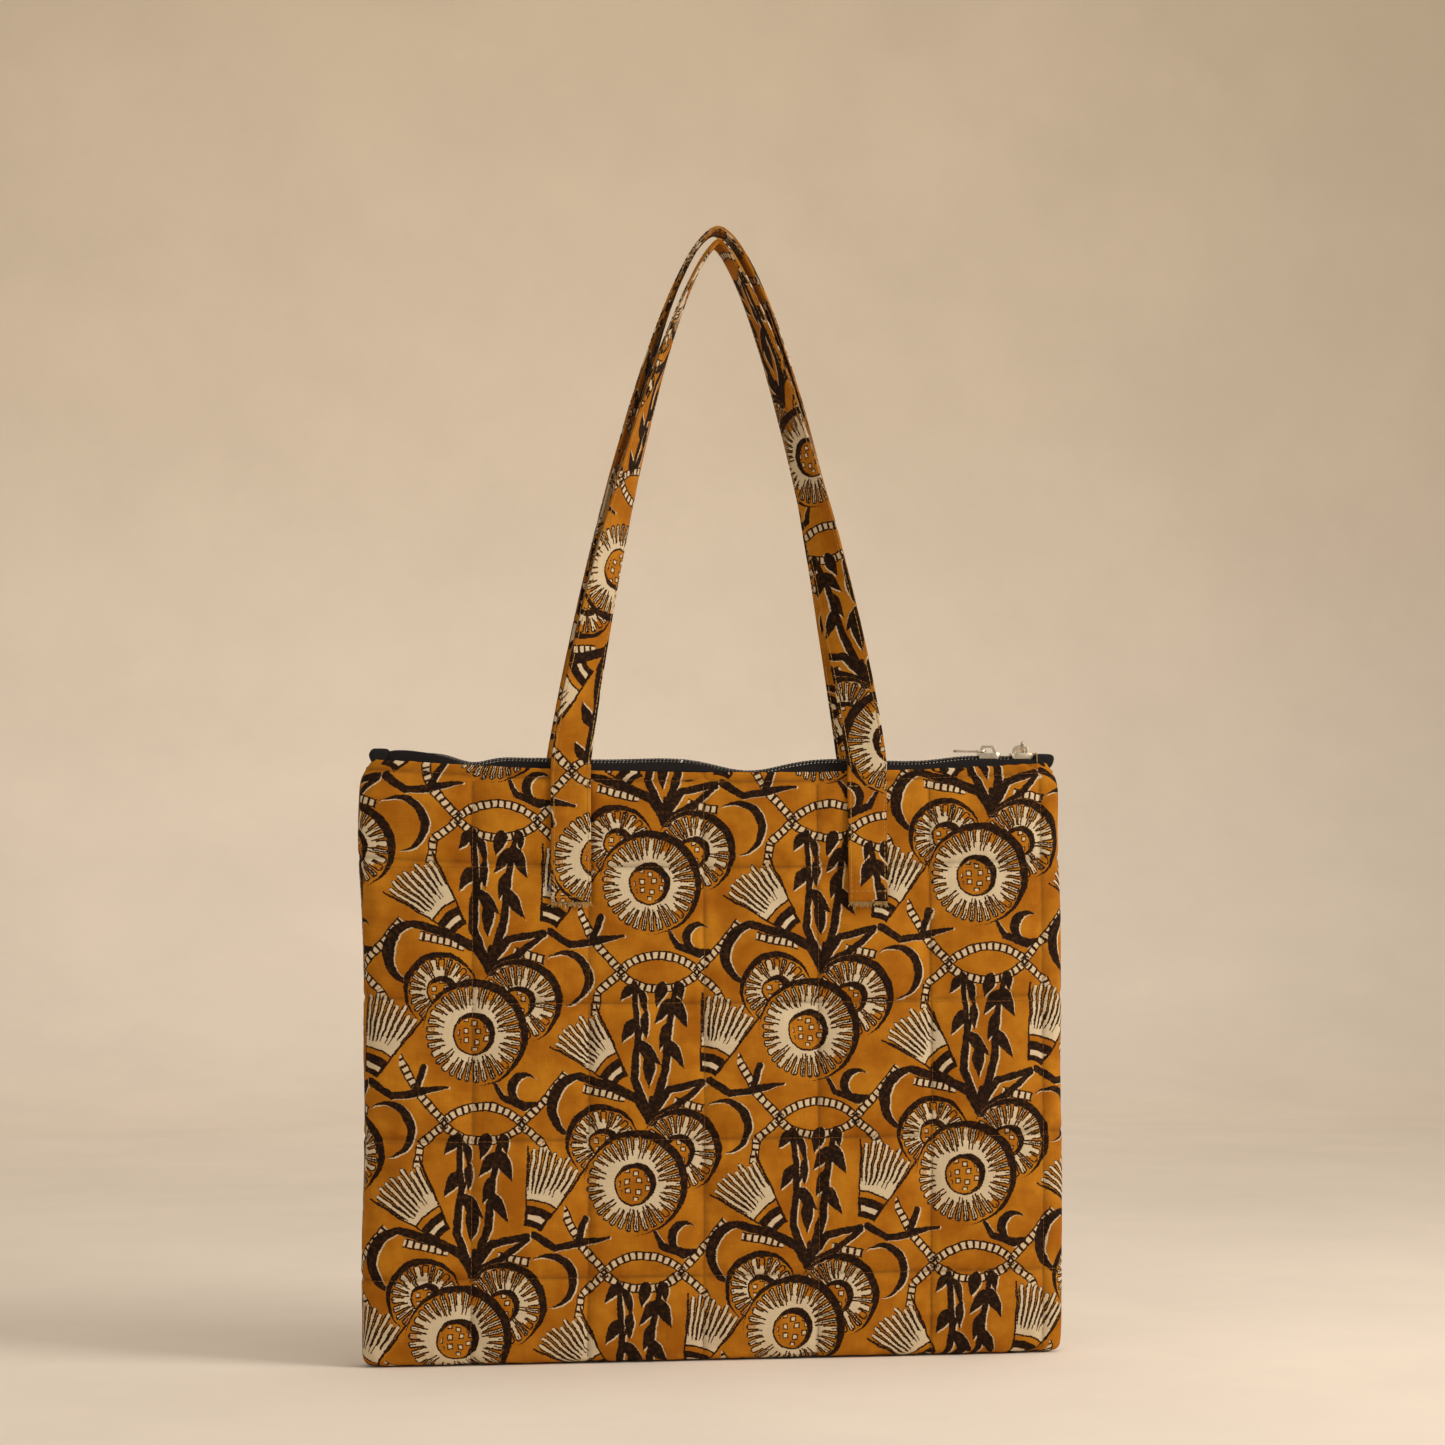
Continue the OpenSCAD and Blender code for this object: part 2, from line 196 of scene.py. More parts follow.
# A bow: part of a ring, thickest where it faces, running out to a point at Reach from there
bow, given, made = group_of(
    "bow",
    [("Place", (0, 0, 0)), ("Centre", (0, 0, 0)), ("Radius", 10.0), ("Width", 1.0),
     ("Facing", (1, 0, 0)), ("Reach", 1.5)],
    [("Edge", "Float"), ("Halo", "Float")],
)
end = sum_of("COSINE", given["Reach"])
growth = sum_of("DIVIDE", given["Width"], minus(1.0, end))
offset = vector_of("SUBTRACT", given["Place"], given["Centre"])
far = vector_of("LENGTH", offset)
ahead = sum_of("DIVIDE", vector_of("DOT_PRODUCT", offset, given["Facing"]), far)
width = times(minus(ahead, end), growth)
ring = size_of(minus(far, given["Radius"]))
put(made["Edge"], minus(ring, width))
ring = minus(vector_of("DISTANCE", offset, slip), given["Radius"])
put(made["Halo"], minus(size_of(ring), width))

# A rope of pale beads between dark bars, given the distance along it and aside from it
beads, given, made = group_of(
    "beads",
    [("Along", 0.0), ("Aside", 0.0), ("Length", 20.0), ("Bead", 3.7), ("Width", 2.45)],
    [("Ink", "Float"), ("Pale", "Float")],
)
middle = times(given["Length"], 0.5)
past = minus(size_of(minus(given["Along"], middle)), middle)
band = minus(size_of(given["Aside"]), given["Width"])
bar = larger(band, past)
step = sum_of("PINGPONG", given["Along"], times(given["Bead"], 0.5))
bead = minus(step, times(given["Bead"], 0.325))
inner = plus(band, 0.75)
pale = larger(larger(bead, inner), past)
put(made["Pale"], pale)
put(made["Ink"], larger(bar, times(pale, -1.0)))

# A straight length of that rope
rope, given, made = group_of(
    "rope",
    [("Place", (0, 0, 0)), ("From", (0, 0, 0)), ("To", (1, 0, 0))],
    [("Ink", "Float"), ("Pale", "Float")],
)
reach = vector_of("SUBTRACT", given["To"], given["From"])
offset = vector_of("SUBTRACT", given["Place"], given["From"])
length = vector_of("LENGTH", reach)
heading = vector_of("NORMALIZE", reach)
along = vector_of("DOT_PRODUCT", offset, heading)
sideways = vector_of("CROSS_PRODUCT", (0.0, 0.0, 1.0), heading)
aside = vector_of("DOT_PRODUCT", offset, sideways)
marks = placed(beads, Along=along, Aside=aside, Length=length)
put(made["Ink"], marks["Ink"])
put(made["Pale"], marks["Pale"])

# Half of the rope's eye: a bow of beads on a chord of 43 mm, arching up
eye_half = 21.7
eye_rise = 9.0
eye_radius = (eye_half**2 + eye_rise**2) / (2 * eye_rise)
eye_turn = math.asin(eye_half / eye_radius)
eyelid, given, made = group_of(
    "eyelid", [("Place", (0, 0, 0))], [("Ink", "Float"), ("Pale", "Float")]
)
offset = vector_of("ADD", given["Place"], (0.0, eye_radius - eye_rise, 0.0))
parts = parts_of("XYZ", offset)
turn = sum_of("ARCTAN2", parts["X"], parts["Y"])
marks = placed(
    beads, Along=times(plus(turn, eye_turn), eye_radius),
    Aside=minus(vector_of("LENGTH", offset), eye_radius), Length=2 * eye_turn * eye_radius
)
put(made["Ink"], marks["Ink"])
put(made["Pale"], marks["Pale"])

# A round bloom: spotted disc, ring of long cut petals, dark crescent and a bow over its shoulder
bloom, given, made = group_of(
    "bloom",
    [("Place", (0, 0, 0)), ("Radius", 25.0), ("Disc", 10.5), ("Petals", 34.0), ("Seed", 0.0)],
    [("Ink", "Float"), ("Pale", "Float"), ("Cover", "Float")],
)
parts = parts_of("XYZ", given["Place"])
far = vector_of("LENGTH", given["Place"])
turn = sum_of("ARCTAN2", parts["Y"], parts["X"])
wheel = times_plus(turn, sum_of("DIVIDE", given["Petals"], 2 * math.pi), given["Seed"])
petal = sum_of("FLOOR", wheel)
from_mid = size_of(minus(sum_of("FRACT", wheel), 0.5))
petal_w = sum_of("DIVIDE", times(far, 2 * math.pi), given["Petals"])
off_mid = times(from_mid, petal_w)
off_side = times(minus(0.5, from_mid), petal_w)
chance = bloom.nodes.new("ShaderNodeTexWhiteNoise")
chance.noise_dimensions = "1D"
put(chance.inputs["W"], petal)
pick = chance.outputs["Value"]
second = parts_of("Color", chance.outputs["Color"])
# Between the petals a slot runs in from the rim, each to its own depth, and shows the dye
depth = times_plus(pick, 7.5, 5.5)
cut_end = minus(given["Radius"], depth)
into = minus(far, cut_end)
slot = larger(minus(off_side, times_plus(into, 0.065, 0.35)), times(into, -1.0))
cut = minus(size_of(slot), 0.42)
# A second, shorter cut down the middle of some petals
second_end = minus(given["Radius"], times(second["Red"], 11.0))
second_in = minus(far, second_end)
second_w = times_plus(second_in, 0.03, 0.24)
second_cut = larger(minus(off_mid, second_w), times(second_in, -1.0))
# The rim is scalloped, one scallop to a petal
scallop = times(sum_of("POWER", from_mid, 2.0), 5.5)
rim = plus(minus(far, given["Radius"]), scallop)
rim_line = minus(size_of(plus(rim, 0.3)), 0.42)
rim_line = larger(rim_line, times(slot, -1.0))
disc = minus(far, given["Disc"])
disc_line = minus(size_of(disc), 0.5)
crescent = placed(
    bow, Place=given["Place"], Radius=minus(given["Disc"], 0.9), Width=2.0,
    Facing=(0.77, 0.64, 0.0), Reach=2.1
)
# Small square spots on the disc
spots = bloom.nodes.new("ShaderNodeTexVoronoi")
spots.voronoi_dimensions = "2D"
spots.distance = "CHEBYCHEV"
put(spots.inputs["Vector"], given["Place"])
put(spots.inputs["Scale"], 0.2)
put(spots.inputs["Randomness"], 0.55)
spot = minus(sum_of("DIVIDE", spots.outputs["Distance"], 0.2), 1.25)
spot_line = minus(size_of(spot), 0.3)
on_disc = plus(disc, 2.2)
spot_line = larger(spot_line, on_disc)
outside_disc = times(disc, -1.0)
cuts = smaller(cut, second_cut)
cuts = larger(larger(cuts, rim), outside_disc)
ink = smaller(cuts, rim_line)
ink = smaller(ink, disc_line)
ink = smaller(ink, crescent["Edge"])
ink = smaller(ink, spot_line)
put(made["Ink"], ink)
# A few petals took the dye outside their middle
dyed = minus(second["Green"], 0.12)
dyed = times(dyed, 8.0)
dyed_end = minus(plus(cut_end, 1.5), far)
plain = larger(smaller(dyed, 3.0), dyed_end)
plain = times(smaller(plain, slot), -1.0)
pale = larger(larger(rim, outside_disc), plain)
pale_spot = larger(plus(spot, 0.3), on_disc)
put(made["Pale"], smaller(pale, pale_spot))
put(made["Cover"], rim)

# A fan-shaped flower on a striped cup, seen from the side; it opens towards its axis
fan, given, made = group_of(
    "fan",
    [("Place", (0, 0, 0)), ("Apex", (0, 0, 0)), ("Across", (1, 0, 0)), ("Axis", (0, 1, 0)),
     ("Length", 40.0), ("Cup", 16.0), ("Spread", 0.42)],
    [("Ink", "Float"), ("Pale", "Float"), ("Cover", "Float")],
)
offset = vector_of("SUBTRACT", given["Place"], given["Apex"])
ahead = vector_of("DOT_PRODUCT", offset, given["Axis"])
across = vector_of("DOT_PRODUCT", offset, given["Across"])
far = vector_of("LENGTH", offset)
turn = sum_of("ARCTAN2", across, ahead)
wheel = times(turn, 14.0)
petal = sum_of("FLOOR", wheel)
from_mid = size_of(minus(sum_of("FRACT", wheel), 0.5))
petal_w = sum_of("DIVIDE", far, 14.0)
off_side = times(minus(0.5, from_mid), petal_w)
chance = fan.nodes.new("ShaderNodeTexWhiteNoise")
chance.noise_dimensions = "1D"
put(chance.inputs["W"], petal)
pick = chance.outputs["Value"]
tip = times_plus(pick, -5.0, given["Length"])
past_tip = plus(minus(far, tip), times(sum_of("POWER", from_mid, 2.0), 11.0))
beside = times(minus(size_of(turn), given["Spread"]), far)
cup = minus(far, given["Cup"])
cover = larger(past_tip, beside)
# Between the long petals the dye shows, wider towards their tips
cut_end = times_plus(pick, 7.0, plus(given["Cup"], 3.5))
into = minus(far, cut_end)
slot = larger(minus(off_side, times_plus(into, 0.032, 0.1)), times(into, -1.0))
side_cut = minus(size_of(slot), 0.4)
tip_line = minus(size_of(past_tip), 0.42)
cuts = larger(smaller(side_cut, tip_line), cover)
cup_line = minus(size_of(cup), 0.5)
# The cup: a dyed band, then dark with a pale lens in it
band = plus(cup, 3.2)
lens = minus(size_of(plus(cup, 9.0)), 1.3)
lens = larger(lens, plus(beside, 1.2))
cup_dark = larger(band, times(lens, -1.0))
cup_dark = larger(smaller(cup_dark, cup_line), beside)
rib = minus(size_of(beside), 0.5)
rib = larger(rib, minus(far, given["Length"]))
foot = plus(times(cup, -1.0), -13.5)
cup_dark = larger(smaller(cup_dark, rib), foot)
ink = smaller(cuts, cup_dark)
put(made["Ink"], ink)
pale = larger(cover, times(smaller(cup, slot), -1.0))
put(made["Pale"], smaller(pale, lens))
put(made["Cover"], cover)


def nearest(edges):
    """The nearest edge of several."""
    found = edges[0]
    for edge in edges[1:]:
        found = smaller(found, edge)
    return found


def drawn(name, strokes=(), bows=(), leaves=()):
    """Group of marks cut as lines. A stroke is its points and its first and last width; a bow
    its centre, radius, width, facing in degrees and reach; a leaf its foot, tip and width."""
    tree, given, made = group_of(
        name, [("Place", (0, 0, 0))], [("Edge", "Float"), ("Halo", "Float")]
    )
    place = given["Place"]
    marks = []
    for points, start, end in strokes:
        widths = [start + (end - start) * i / (len(points) - 1) for i in range(len(points))]
        for a, b, v, w in zip(points, points[1:], widths, widths[1:]):
            marks.append(placed(stroke, Place=place, From=(*a, 0), To=(*b, 0), Start=v, End=w))
    for centre, radius, width, facing, reach in bows:
        ahead = (math.cos(math.radians(facing)), math.sin(math.radians(facing)), 0)
        marks.append(
            placed(
                bow, Place=place, Centre=(*centre, 0), Radius=radius, Width=width, Facing=ahead,
                Reach=math.radians(reach)
            )
        )
    for foot, tip, width in leaves:
        marks.append(placed(leaf, Place=place, From=(*foot, 0), To=(*tip, 0), Width=width))
    put(made["Edge"], nearest([mark["Edge"] for mark in marks]))
    put(made["Halo"], nearest([mark["Halo"] for mark in marks]))
    return tree


# The spray: stems with hanging leaves that grow from one foot
vines = drawn(
    "vines",
    strokes=[
        ([(0, 107), (1.5, 78), (-0.6, 56), (8.2, 34)], 1.5, 2.5),
        ([(23, 107), (18.6, 86), (16, 60), (9, 36)], 1.5, 2.5),
        ([(2, 104), (6.5, 90), (1.5, 76), (8, 62)], 1.1, 0.8),
    ],
    leaves=[
        ((-0.5, 107), (-8, 97), 2.9), ((3, 104), (7, 92), 2.2), ((0, 88), (-7.6, 75), 3.3),
        ((5.4, 91), (5.6, 77), 2.4), ((2, 76), (14, 63), 3.2), ((7.6, 69), (7.4, 51), 3.4),
        ((15.5, 108), (11.6, 94), 3.6), ((20, 98), (10.6, 85), 3.0), ((21, 99), (28.5, 83), 3.6),
        ((18.4, 86), (13, 71), 3.0), ((17, 77), (27, 61), 3.3), ((24, 108), (25.5, 97), 2.4),
    ],
)
# The arms at its foot: one bends over to the left, one is an open leaf with the next flower on it
arms = drawn(
    "arms",
    strokes=[
        ([(8.5, 35), (2, 45), (-12, 52), (-30, 57)], 3.0, 2.2),
        ([(9, 38), (18, 50), (37, 54.5)], 2.5, 1.7),
        ([(10, 35), (22, 41.5), (37, 53)], 2.4, 1.5),
        ([(9, 34), (9, 46)], 3.4, 1.4),
    ],
    bows=[((-28.5, 41), 16.4, 3.0, 162, 112)],
)
# The stem beyond that leaf with its drooping end, and two hooks
hooks = drawn(
    "hooks",
    strokes=[
        ([(-54, -26), (-43, -33), (-31, -31.5), (-26.5, -18)], 2.1, 1.9),
        ([(-28, -30.5), (-14, -28)], 2.3, 0.7),
        ([(10.5, -25), (15, -33), (27, -37)], 1.0, 2.6),
        ([(27, -37), (36, -35.5)], 2.6, 0.6),
    ],
    bows=[((-47, -51), 14, 2.4, 20, 105), ((27.5, -28.5), 7.4, 2.5, 165, 120)],
)

# The unit of the print repeats in columns, each half a repeat below the last, on cloth that
# lies a little askew. From a place on the cloth in metres it gives what took ink and what
# stayed pale.
column = 90.5
repeat = 160.0
half_drop = 79.0
lean = 0.05

repeated, given, made = group_of(
    "repeated", [("Place", (0, 0, 0)), ("Middle", (0, 0, 0))], [("Place", "Vector")]
)
parts = parts_of("XYZ", vector_of("SUBTRACT", given["Place"], given["Middle"]))
upright = times_plus(parts["Y"], -lean, parts["X"])
number = sum_of("ROUND", sum_of("DIVIDE", upright, column))
x = times_plus(number, -column, upright)
y = times_plus(number, half_drop, parts["Y"])
y = sum_of("WRAP", y, repeat / 2, -repeat / 2)
x = times_plus(y, lean, x)
back = repeated.nodes.new("ShaderNodeCombineXYZ")
put(back.inputs["X"], x)
put(back.inputs["Y"], y)
put(made["Place"], vector_of("ADD", back.outputs[0], given["Middle"]))

block_print, given, made = group_of(
    "block_print",
    [("Place", (0, 0, 0)), ("Start", (0, 0, 0)), ("Waver", 1.1), ("Ragged", 0.3)],
    [("Ink", "Float"), ("Pale", "Float")],
)
flat = vector_of("MULTIPLY", given["Place"], (1000, 1000, 0))
flat = vector_of("SUBTRACT", flat, given["Start"])
drift = block_print.nodes.new("ShaderNodeTexNoise")
put(drift.inputs["Vector"], flat)
put(drift.inputs["Scale"], 0.09)
put(drift.inputs["Detail"], 3.0)
put(drift.inputs["Roughness"], 0.62)
drifted = vector_of("SUBTRACT", drift.outputs["Color"], (0.5, 0.5, 0.5))
drifted = vector_of("SCALE", drifted, scale=times(given["Waver"], 2.5))
flat = vector_of("ADD", flat, vector_of("MULTIPLY", drifted, (1, 1, 0)))


def unit_at(x, y):
    return placed(repeated, Place=flat, Middle=(x, y, 0))["Place"]


def cut_by(edge, cover):
    return larger(edge, times(cover, -1.0))


# Ropes first, with the two hooks and the spray over them
eye = vector_of("SUBTRACT", unit_at(13, 113), (13, 113, 0))
lids = [placed(eyelid, Place=eye), placed(eyelid, Place=vector_of("MULTIPLY", eye, (1, -1, 1)))]
lids += [
    placed(rope, Place=eye, From=(*a, 0), To=(*b, 0))
    for a, b in [
        ((-20, 0), (-34, 15)), ((-34, 15), (-44.5, 35)), ((-20, 0), (-33, -11)),
        ((-33, -11), (-35, -24)), ((20, 0), (33, 13)), ((33, 13), (44.5, 27)),
        ((20, 0), (32, -10)), ((32, -10), (38.5, -24))
    ]
]
ink = nearest([lid["Ink"] for lid in lids])
pale = nearest([lid["Pale"] for lid in lids])
near_spray = unit_at(5, 70)
small = [
    placed(rope, Place=near_spray, From=(-28, 51, 0), To=(-5, 46, 0)),
    placed(rope, Place=near_spray, From=(21, 44, 0), To=(38, 40, 0))
]
ink = nearest([ink] + [s["Ink"] for s in small])
pale = nearest([pale] + [s["Pale"] for s in small])

flower_1 = placed(
    fan, Place=unit_at(-22, 75), Apex=(1.5, 45.5, 0), Axis=(-0.669, 0.743, 0),
    Across=(0.743, 0.669, 0), Length=55.0, Cup=27.0, Spread=0.31
)
flower_2 = placed(
    fan, Place=unit_at(-46, 0), Apex=(-59.5, -35, 0), Axis=(0.34, 0.94, 0),
    Across=(0.94, -0.34, 0), Length=56.0, Cup=27.5, Spread=0.31
)
for flower in (flower_1, flower_2):
    ink = smaller(cut_by(ink, flower["Cover"]), flower["Ink"])
    pale = smaller(cut_by(pale, flower["Cover"]), flower["Pale"])

lines = [
    placed(vines, Place=unit_at(8, 72)), placed(arms, Place=unit_at(-3, 50)),
    placed(hooks, Place=unit_at(-11, -36))
]
ink = nearest([ink] + [mark["Edge"] for mark in lines])
pale = nearest([pale] + [mark["Halo"] for mark in lines])

# Two blooms behind, and the large one over them. A place has the petals of the bloom that
# shows there.
blooms = unit_at(6, 12)
left, right = (-17, 22, 0), (24, 17, 0)
large_r, left_r, right_r, brow_w = 25.3, 17.5, 20.0, 1.9
from_left = vector_of("SUBTRACT", blooms, left)
from_right = vector_of("DISTANCE", blooms, right)
on_right = sum_of(
    "LESS_THAN", minus(from_right, right_r), minus(vector_of("LENGTH", from_left), left_r)
)
across = vector_of("SCALE", tuple((a - b for a, b in zip(left, right))), scale=on_right)
own = vector_of("ADD", from_left, across)
radius = times_plus(on_right, right_r - left_r, left_r)
on_large = sum_of("LESS_THAN", vector_of("LENGTH", blooms), large_r + brow_w)
across = vector_of("SUBTRACT", blooms, own)
own = vector_of("ADD", own, vector_of("SCALE", across, scale=on_large))
wider = minus(large_r, radius)
radius = times_plus(on_large, wider, radius)
marks = placed(
    bloom, Place=own, Radius=radius, Disc=times(radius, 0.42),
    Petals=sum_of("ROUND", times(radius, 1.3)), Seed=times(radius, 3.3)
)
brows = [
    placed(
        bow, Place=blooms, Centre=centre, Radius=r + 1.6, Width=w, Facing=facing, Reach=reach
    )["Edge"]
    for centre, r, w, facing, reach in [
        (left, left_r, 1.8, (-0.5, 0.87, 0), 2.0), (right, right_r, 2.3, (0.75, 0.66, 0), 1.9)
    ]
]
brow = placed(
    bow, Place=blooms, Radius=large_r + 1.6, Width=2.4, Facing=(0.71, 0.7, 0), Reach=2.3
)["Edge"]
behind = minus(large_r + 1, vector_of("LENGTH", blooms))
behind = larger(nearest(brows), behind)
brow = smaller(brow, behind)
cover = smaller(marks["Cover"], brow)
ink = smaller(cut_by(ink, cover), marks["Ink"])
ink = smaller(ink, brow)
pale = smaller(cut_by(pale, cover), marks["Pale"])

# Ink bleeds along the threads, so every edge is ragged
bleed = block_print.nodes.new("ShaderNodeTexNoise")
put(bleed.inputs["Vector"], flat)
put(bleed.inputs["Scale"], 1.1)
put(bleed.inputs["Detail"], 2.0)
ragged = times(minus(bleed.outputs[0], 0.5), times(given["Ragged"], 4.0))


def filled(edge):
    node = block_print.nodes.new("ShaderNodeMapRange")
    node.interpolation_type = "SMOOTHSTEP"
    put(node.inputs["Value"], plus(edge, ragged))
    put(node.inputs["From Min"], 0.16)
    put(node.inputs["From Max"], -0.16)
    return node.outputs["Result"]


inked = filled(ink)
put(made["Ink"], inked)
bare = minus(1.0, inked)
put(made["Pale"], smaller(filled(pale), bare))

# Plain weave, from a place on the cloth in metres: one thread over, one under. Height is the
# yarns' relief and Yarn is a value for each thread, which took the dye in its own way.
weave, given, made = group_of(
    "weave",
    [("Place", (0, 0, 0)), ("Threads", 1900.0)],
    [("Height", "Float"), ("Yarn", "Float")],
)
counted = vector_of("SCALE", given["Place"], scale=given["Threads"])
wobble = weave.nodes.new("ShaderNodeTexNoise")
put(wobble.inputs["Vector"], given["Place"])
put(wobble.inputs["Scale"], 160.0)
put(wobble.inputs["Detail"], 1.0)
counted = vector_of("ADD", counted, vector_of("SCALE", wobble.outputs["Color"], scale=3.0))
parts = parts_of("XYZ", counted)
warp = sum_of("SINE", times(parts["X"], math.pi))
weft = sum_of("SINE", times(parts["Y"], math.pi))
over = sum_of("GREATER_THAN", times(warp, weft), 0.0)
warp = size_of(warp)
weft = size_of(weft)
rise = minus(warp, weft)
put(made["Height"], times_plus(over, rise, weft))
yarn = weave.nodes.new("ShaderNodeTexNoise")
long_way = vector_of("MULTIPLY", given["Place"], (2600.0, 90.0, 1.0))
put(yarn.inputs["Vector"], long_way)
put(yarn.inputs["Scale"], 1.0)
put(yarn.inputs["Detail"], 2.0)
cross_way = vector_of("MULTIPLY", given["Place"], (90.0, 2600.0, 1.0))
pick = weave.nodes.new("ShaderNodeTexNoise")
put(pick.inputs["Vector"], cross_way)
put(pick.inputs["Scale"], 1.0)
put(pick.inputs["Detail"], 2.0)
put(made["Yarn"], plus(yarn.outputs[0], pick.outputs[0]))


def linear(red, green, blue):
    """A colour given as 0 to 255 on screen, as the shaders take it."""
    shares = [value / 255 for value in (red, green, blue)]
    return tuple(
        (s / 12.92 if s <= 0.04045 else ((s + 0.055) / 1.055) ** 2.4 for s in shares)
    ) + (1.0,)


def mixed(share, one, other, kind="MIX"):
    node = tree_of(share, one, other).nodes.new("ShaderNodeMix")
    node.data_type = "RGBA"
    node.blend_type = kind
    put(node.inputs[0], share)
    put(node.inputs[6], one)
    put(node.inputs[7], other)
    return node.outputs[2]


def shaded(colour, tone):
    """The colour times a grey tone."""
    grey = tone.id_data.nodes.new("ShaderNodeCombineColor")
    for part in range(3):
        put(grey.inputs[part], tone)
    return mixed(1.0, colour, grey.outputs[0], "MULTIPLY")


def place_on(tree):
    """Places on the object itself."""
    return tree.nodes.new("ShaderNodeTexCoord").outputs["Object"]


def material_of(name, roughness, metallic=0.0, sheen=0.0):
    """Material with a Principled shader; its tree and the shader's inputs."""
    made_new = bpy.data.materials.new(name)
    made_new.use_nodes = True
    tree = made_new.node_tree
    shader = next(node for node in tree.nodes if node.type == "BSDF_PRINCIPLED").inputs
    shader["Roughness"].default_value = roughness
    shader["Metallic"].default_value = metallic
    shader["Sheen Weight"].default_value = sheen
    return made_new, tree, shader


def raised(shader, height, depth, strength=1.0):
    """Relief of that depth in metres on the shader's normal."""
    bump = height.id_data.nodes.new("ShaderNodeBump")
    bump.inputs["Distance"].default_value = depth
    bump.inputs["Strength"].default_value = strength
    put(bump.inputs["Height"], height)
    put(shader["Normal"], bump.outputs[0])


def noise_of(place, scale, detail=2.0, roughness=0.5):
    node = place.id_data.nodes.new("ShaderNodeTexNoise")
    put(node.inputs["Vector"], place)
    put(node.inputs["Scale"], scale)
    put(node.inputs["Detail"], detail)
    put(node.inputs["Roughness"], roughness)
    return node.outputs[0]


def kept(tree, name):
    """A vector kept on the mesh, such as the place on the cloth before it was sewn."""
    node = tree.nodes.new("ShaderNodeAttribute")
    node.attribute_name = name
    return node.outputs["Vector"]


mustard = linear(194, 125, 24)
mustard_deep = linear(160, 92, 5)
resist = linear(210, 188, 152)
ink_brown = linear(27, 12, 3)


def printed_cotton(name, start):
    """The printed cloth; start is where on the bag, in mm, the middle of a large bloom falls."""
    made_new, tree, shader = material_of(name, 0.88)
    shader["Specular IOR Level"].default_value = 0.14
    cloth = kept(tree, "cloth")
    printed = placed(block_print, Place=cloth, Start=start)
    woven = placed(weave, Place=cloth)
    dye = noise_of(cloth, 38.0, 4.0, 0.6)
    dye = times_plus(minus(dye, 0.42), 3.2, 0.4)
    dye = larger(smaller(dye, 1.0), 0.0)
    colour = mixed(dye, mustard, mustard_deep)
    colour = mixed(printed["Pale"], colour, resist)
    thin = noise_of(cloth, 420.0, 3.0, 0.7)
    dark = times_plus(thin, -0.55, 1.26)
    dark = times(smaller(dark, 1.0), printed["Ink"])
    colour = mixed(dark, colour, ink_brown)
    thread = times_plus(woven["Yarn"], 0.34, 0.66)
    # Painted shade along the quilting lines: the mask kept on the panel darkens the colour by up
    # to 0.3 there
    seam = tree.nodes.new("ShaderNodeAttribute")
    seam.attribute_name = "drawn_in_and_painted_shade"
    shade = times_plus(seam.outputs["Fac"], -0.3, 1.0)
    thread = times(thread, shade)
    put(shader["Base Color"], shaded(colour, thread))
    raised(shader, woven["Height"], 0.00012, 0.8)
    return made_new


# ---------------------------------------------------------------------------------------------
# Front and back panel. Printed cotton over wadding, quilted in a grid with one machine thread,
# joined to each other down the sides and along the base, and topstitched under the zip.
# ---------------------------------------------------------------------------------------------

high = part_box("front_cover")[1]
half_w = high.x / mm
top_mid_h = 316.0
top_rise = high.z / mm - top_mid_h
top_depth = 24.0
belly = 10.0
squareness = 7.0
base_r = 4.0
corner_r = 6.0
panel_t = 3.9
rim_t = 1.9
quilt_columns = [-133.5, -71.0, -8.5, 54.0, 116.5, 179.0]
quilt_rows = [46.0, 119.0, 192.0, 265.0]
grid = 4.0
puff = 2.2
strap_x = 81.0
strap_w = 22.0
strap_foot_h = 246.0
topstitch_drop = 4.6


def top_z(x):
    return top_mid_h + top_rise * (abs(x) / half_w) ** 2


def half_depth(z):
    share = min(max(z, 0) / top_mid_h, 1)
    return (top_depth + belly * math.sin(math.pi * share**0.8)) / 2


def half_width(z, off):
    """Half width of the bag at a height, on the skin at that depth under its face."""
    r = max(corner_r - off, 0.8)
    low_part = min(max(z - off, 0), r)
    high_part = max(z - (top_mid_h - 2 * corner_r), 0) / (2 * corner_r + top_rise)
    return half_w - off - r + math.sqrt(r * r - (r - low_part) ** 2) - corner_r * high_part**3


def unevenness(x, y, z):
    """Smooth random value from about -1 to 1."""
    return noise.noise(Vector((x, y, z)))


def flare(x, z):
    """How far the side edge stands out or in where the bag is fuller or slacker, in mm."""
    out = abs(x / half_w) ** 6
    full = 3.4 * math.exp(-(((z - 288) / 42) ** 2)) - 1.2 * math.exp(-(((z - 135) / 60) ** 2))
    uneven = 0.8 * unevenness(z / 38, x / 90, 2.5)
    return out * (uneven - full if x < 0 else uneven) + 1.6 * math.copysign(out, x)


def slack(x, z):
    """How far the standing cloth bellies out or sinks in, in mm."""
    broad = unevenness(x / 95, z / 80, 4.2)
    small = unevenness(x / 34, z / 41, 9.7)
    calm = min(z / 25, 1) * min((half_w - abs(x)) / 14, 1)
    return (1.5 * broad + 0.55 * small) * max(calm, 0)


def stations(marks, step):
    """Places from the first mark to the last, evenly spaced between each two marks."""
    found = [marks[0]]
    for a, b in zip(marks, marks[1:]):
        count = max(round((b - a) / step), 1)
        found += [a + (b - a) * (i + 1) / count for i in range(count)]
    return found


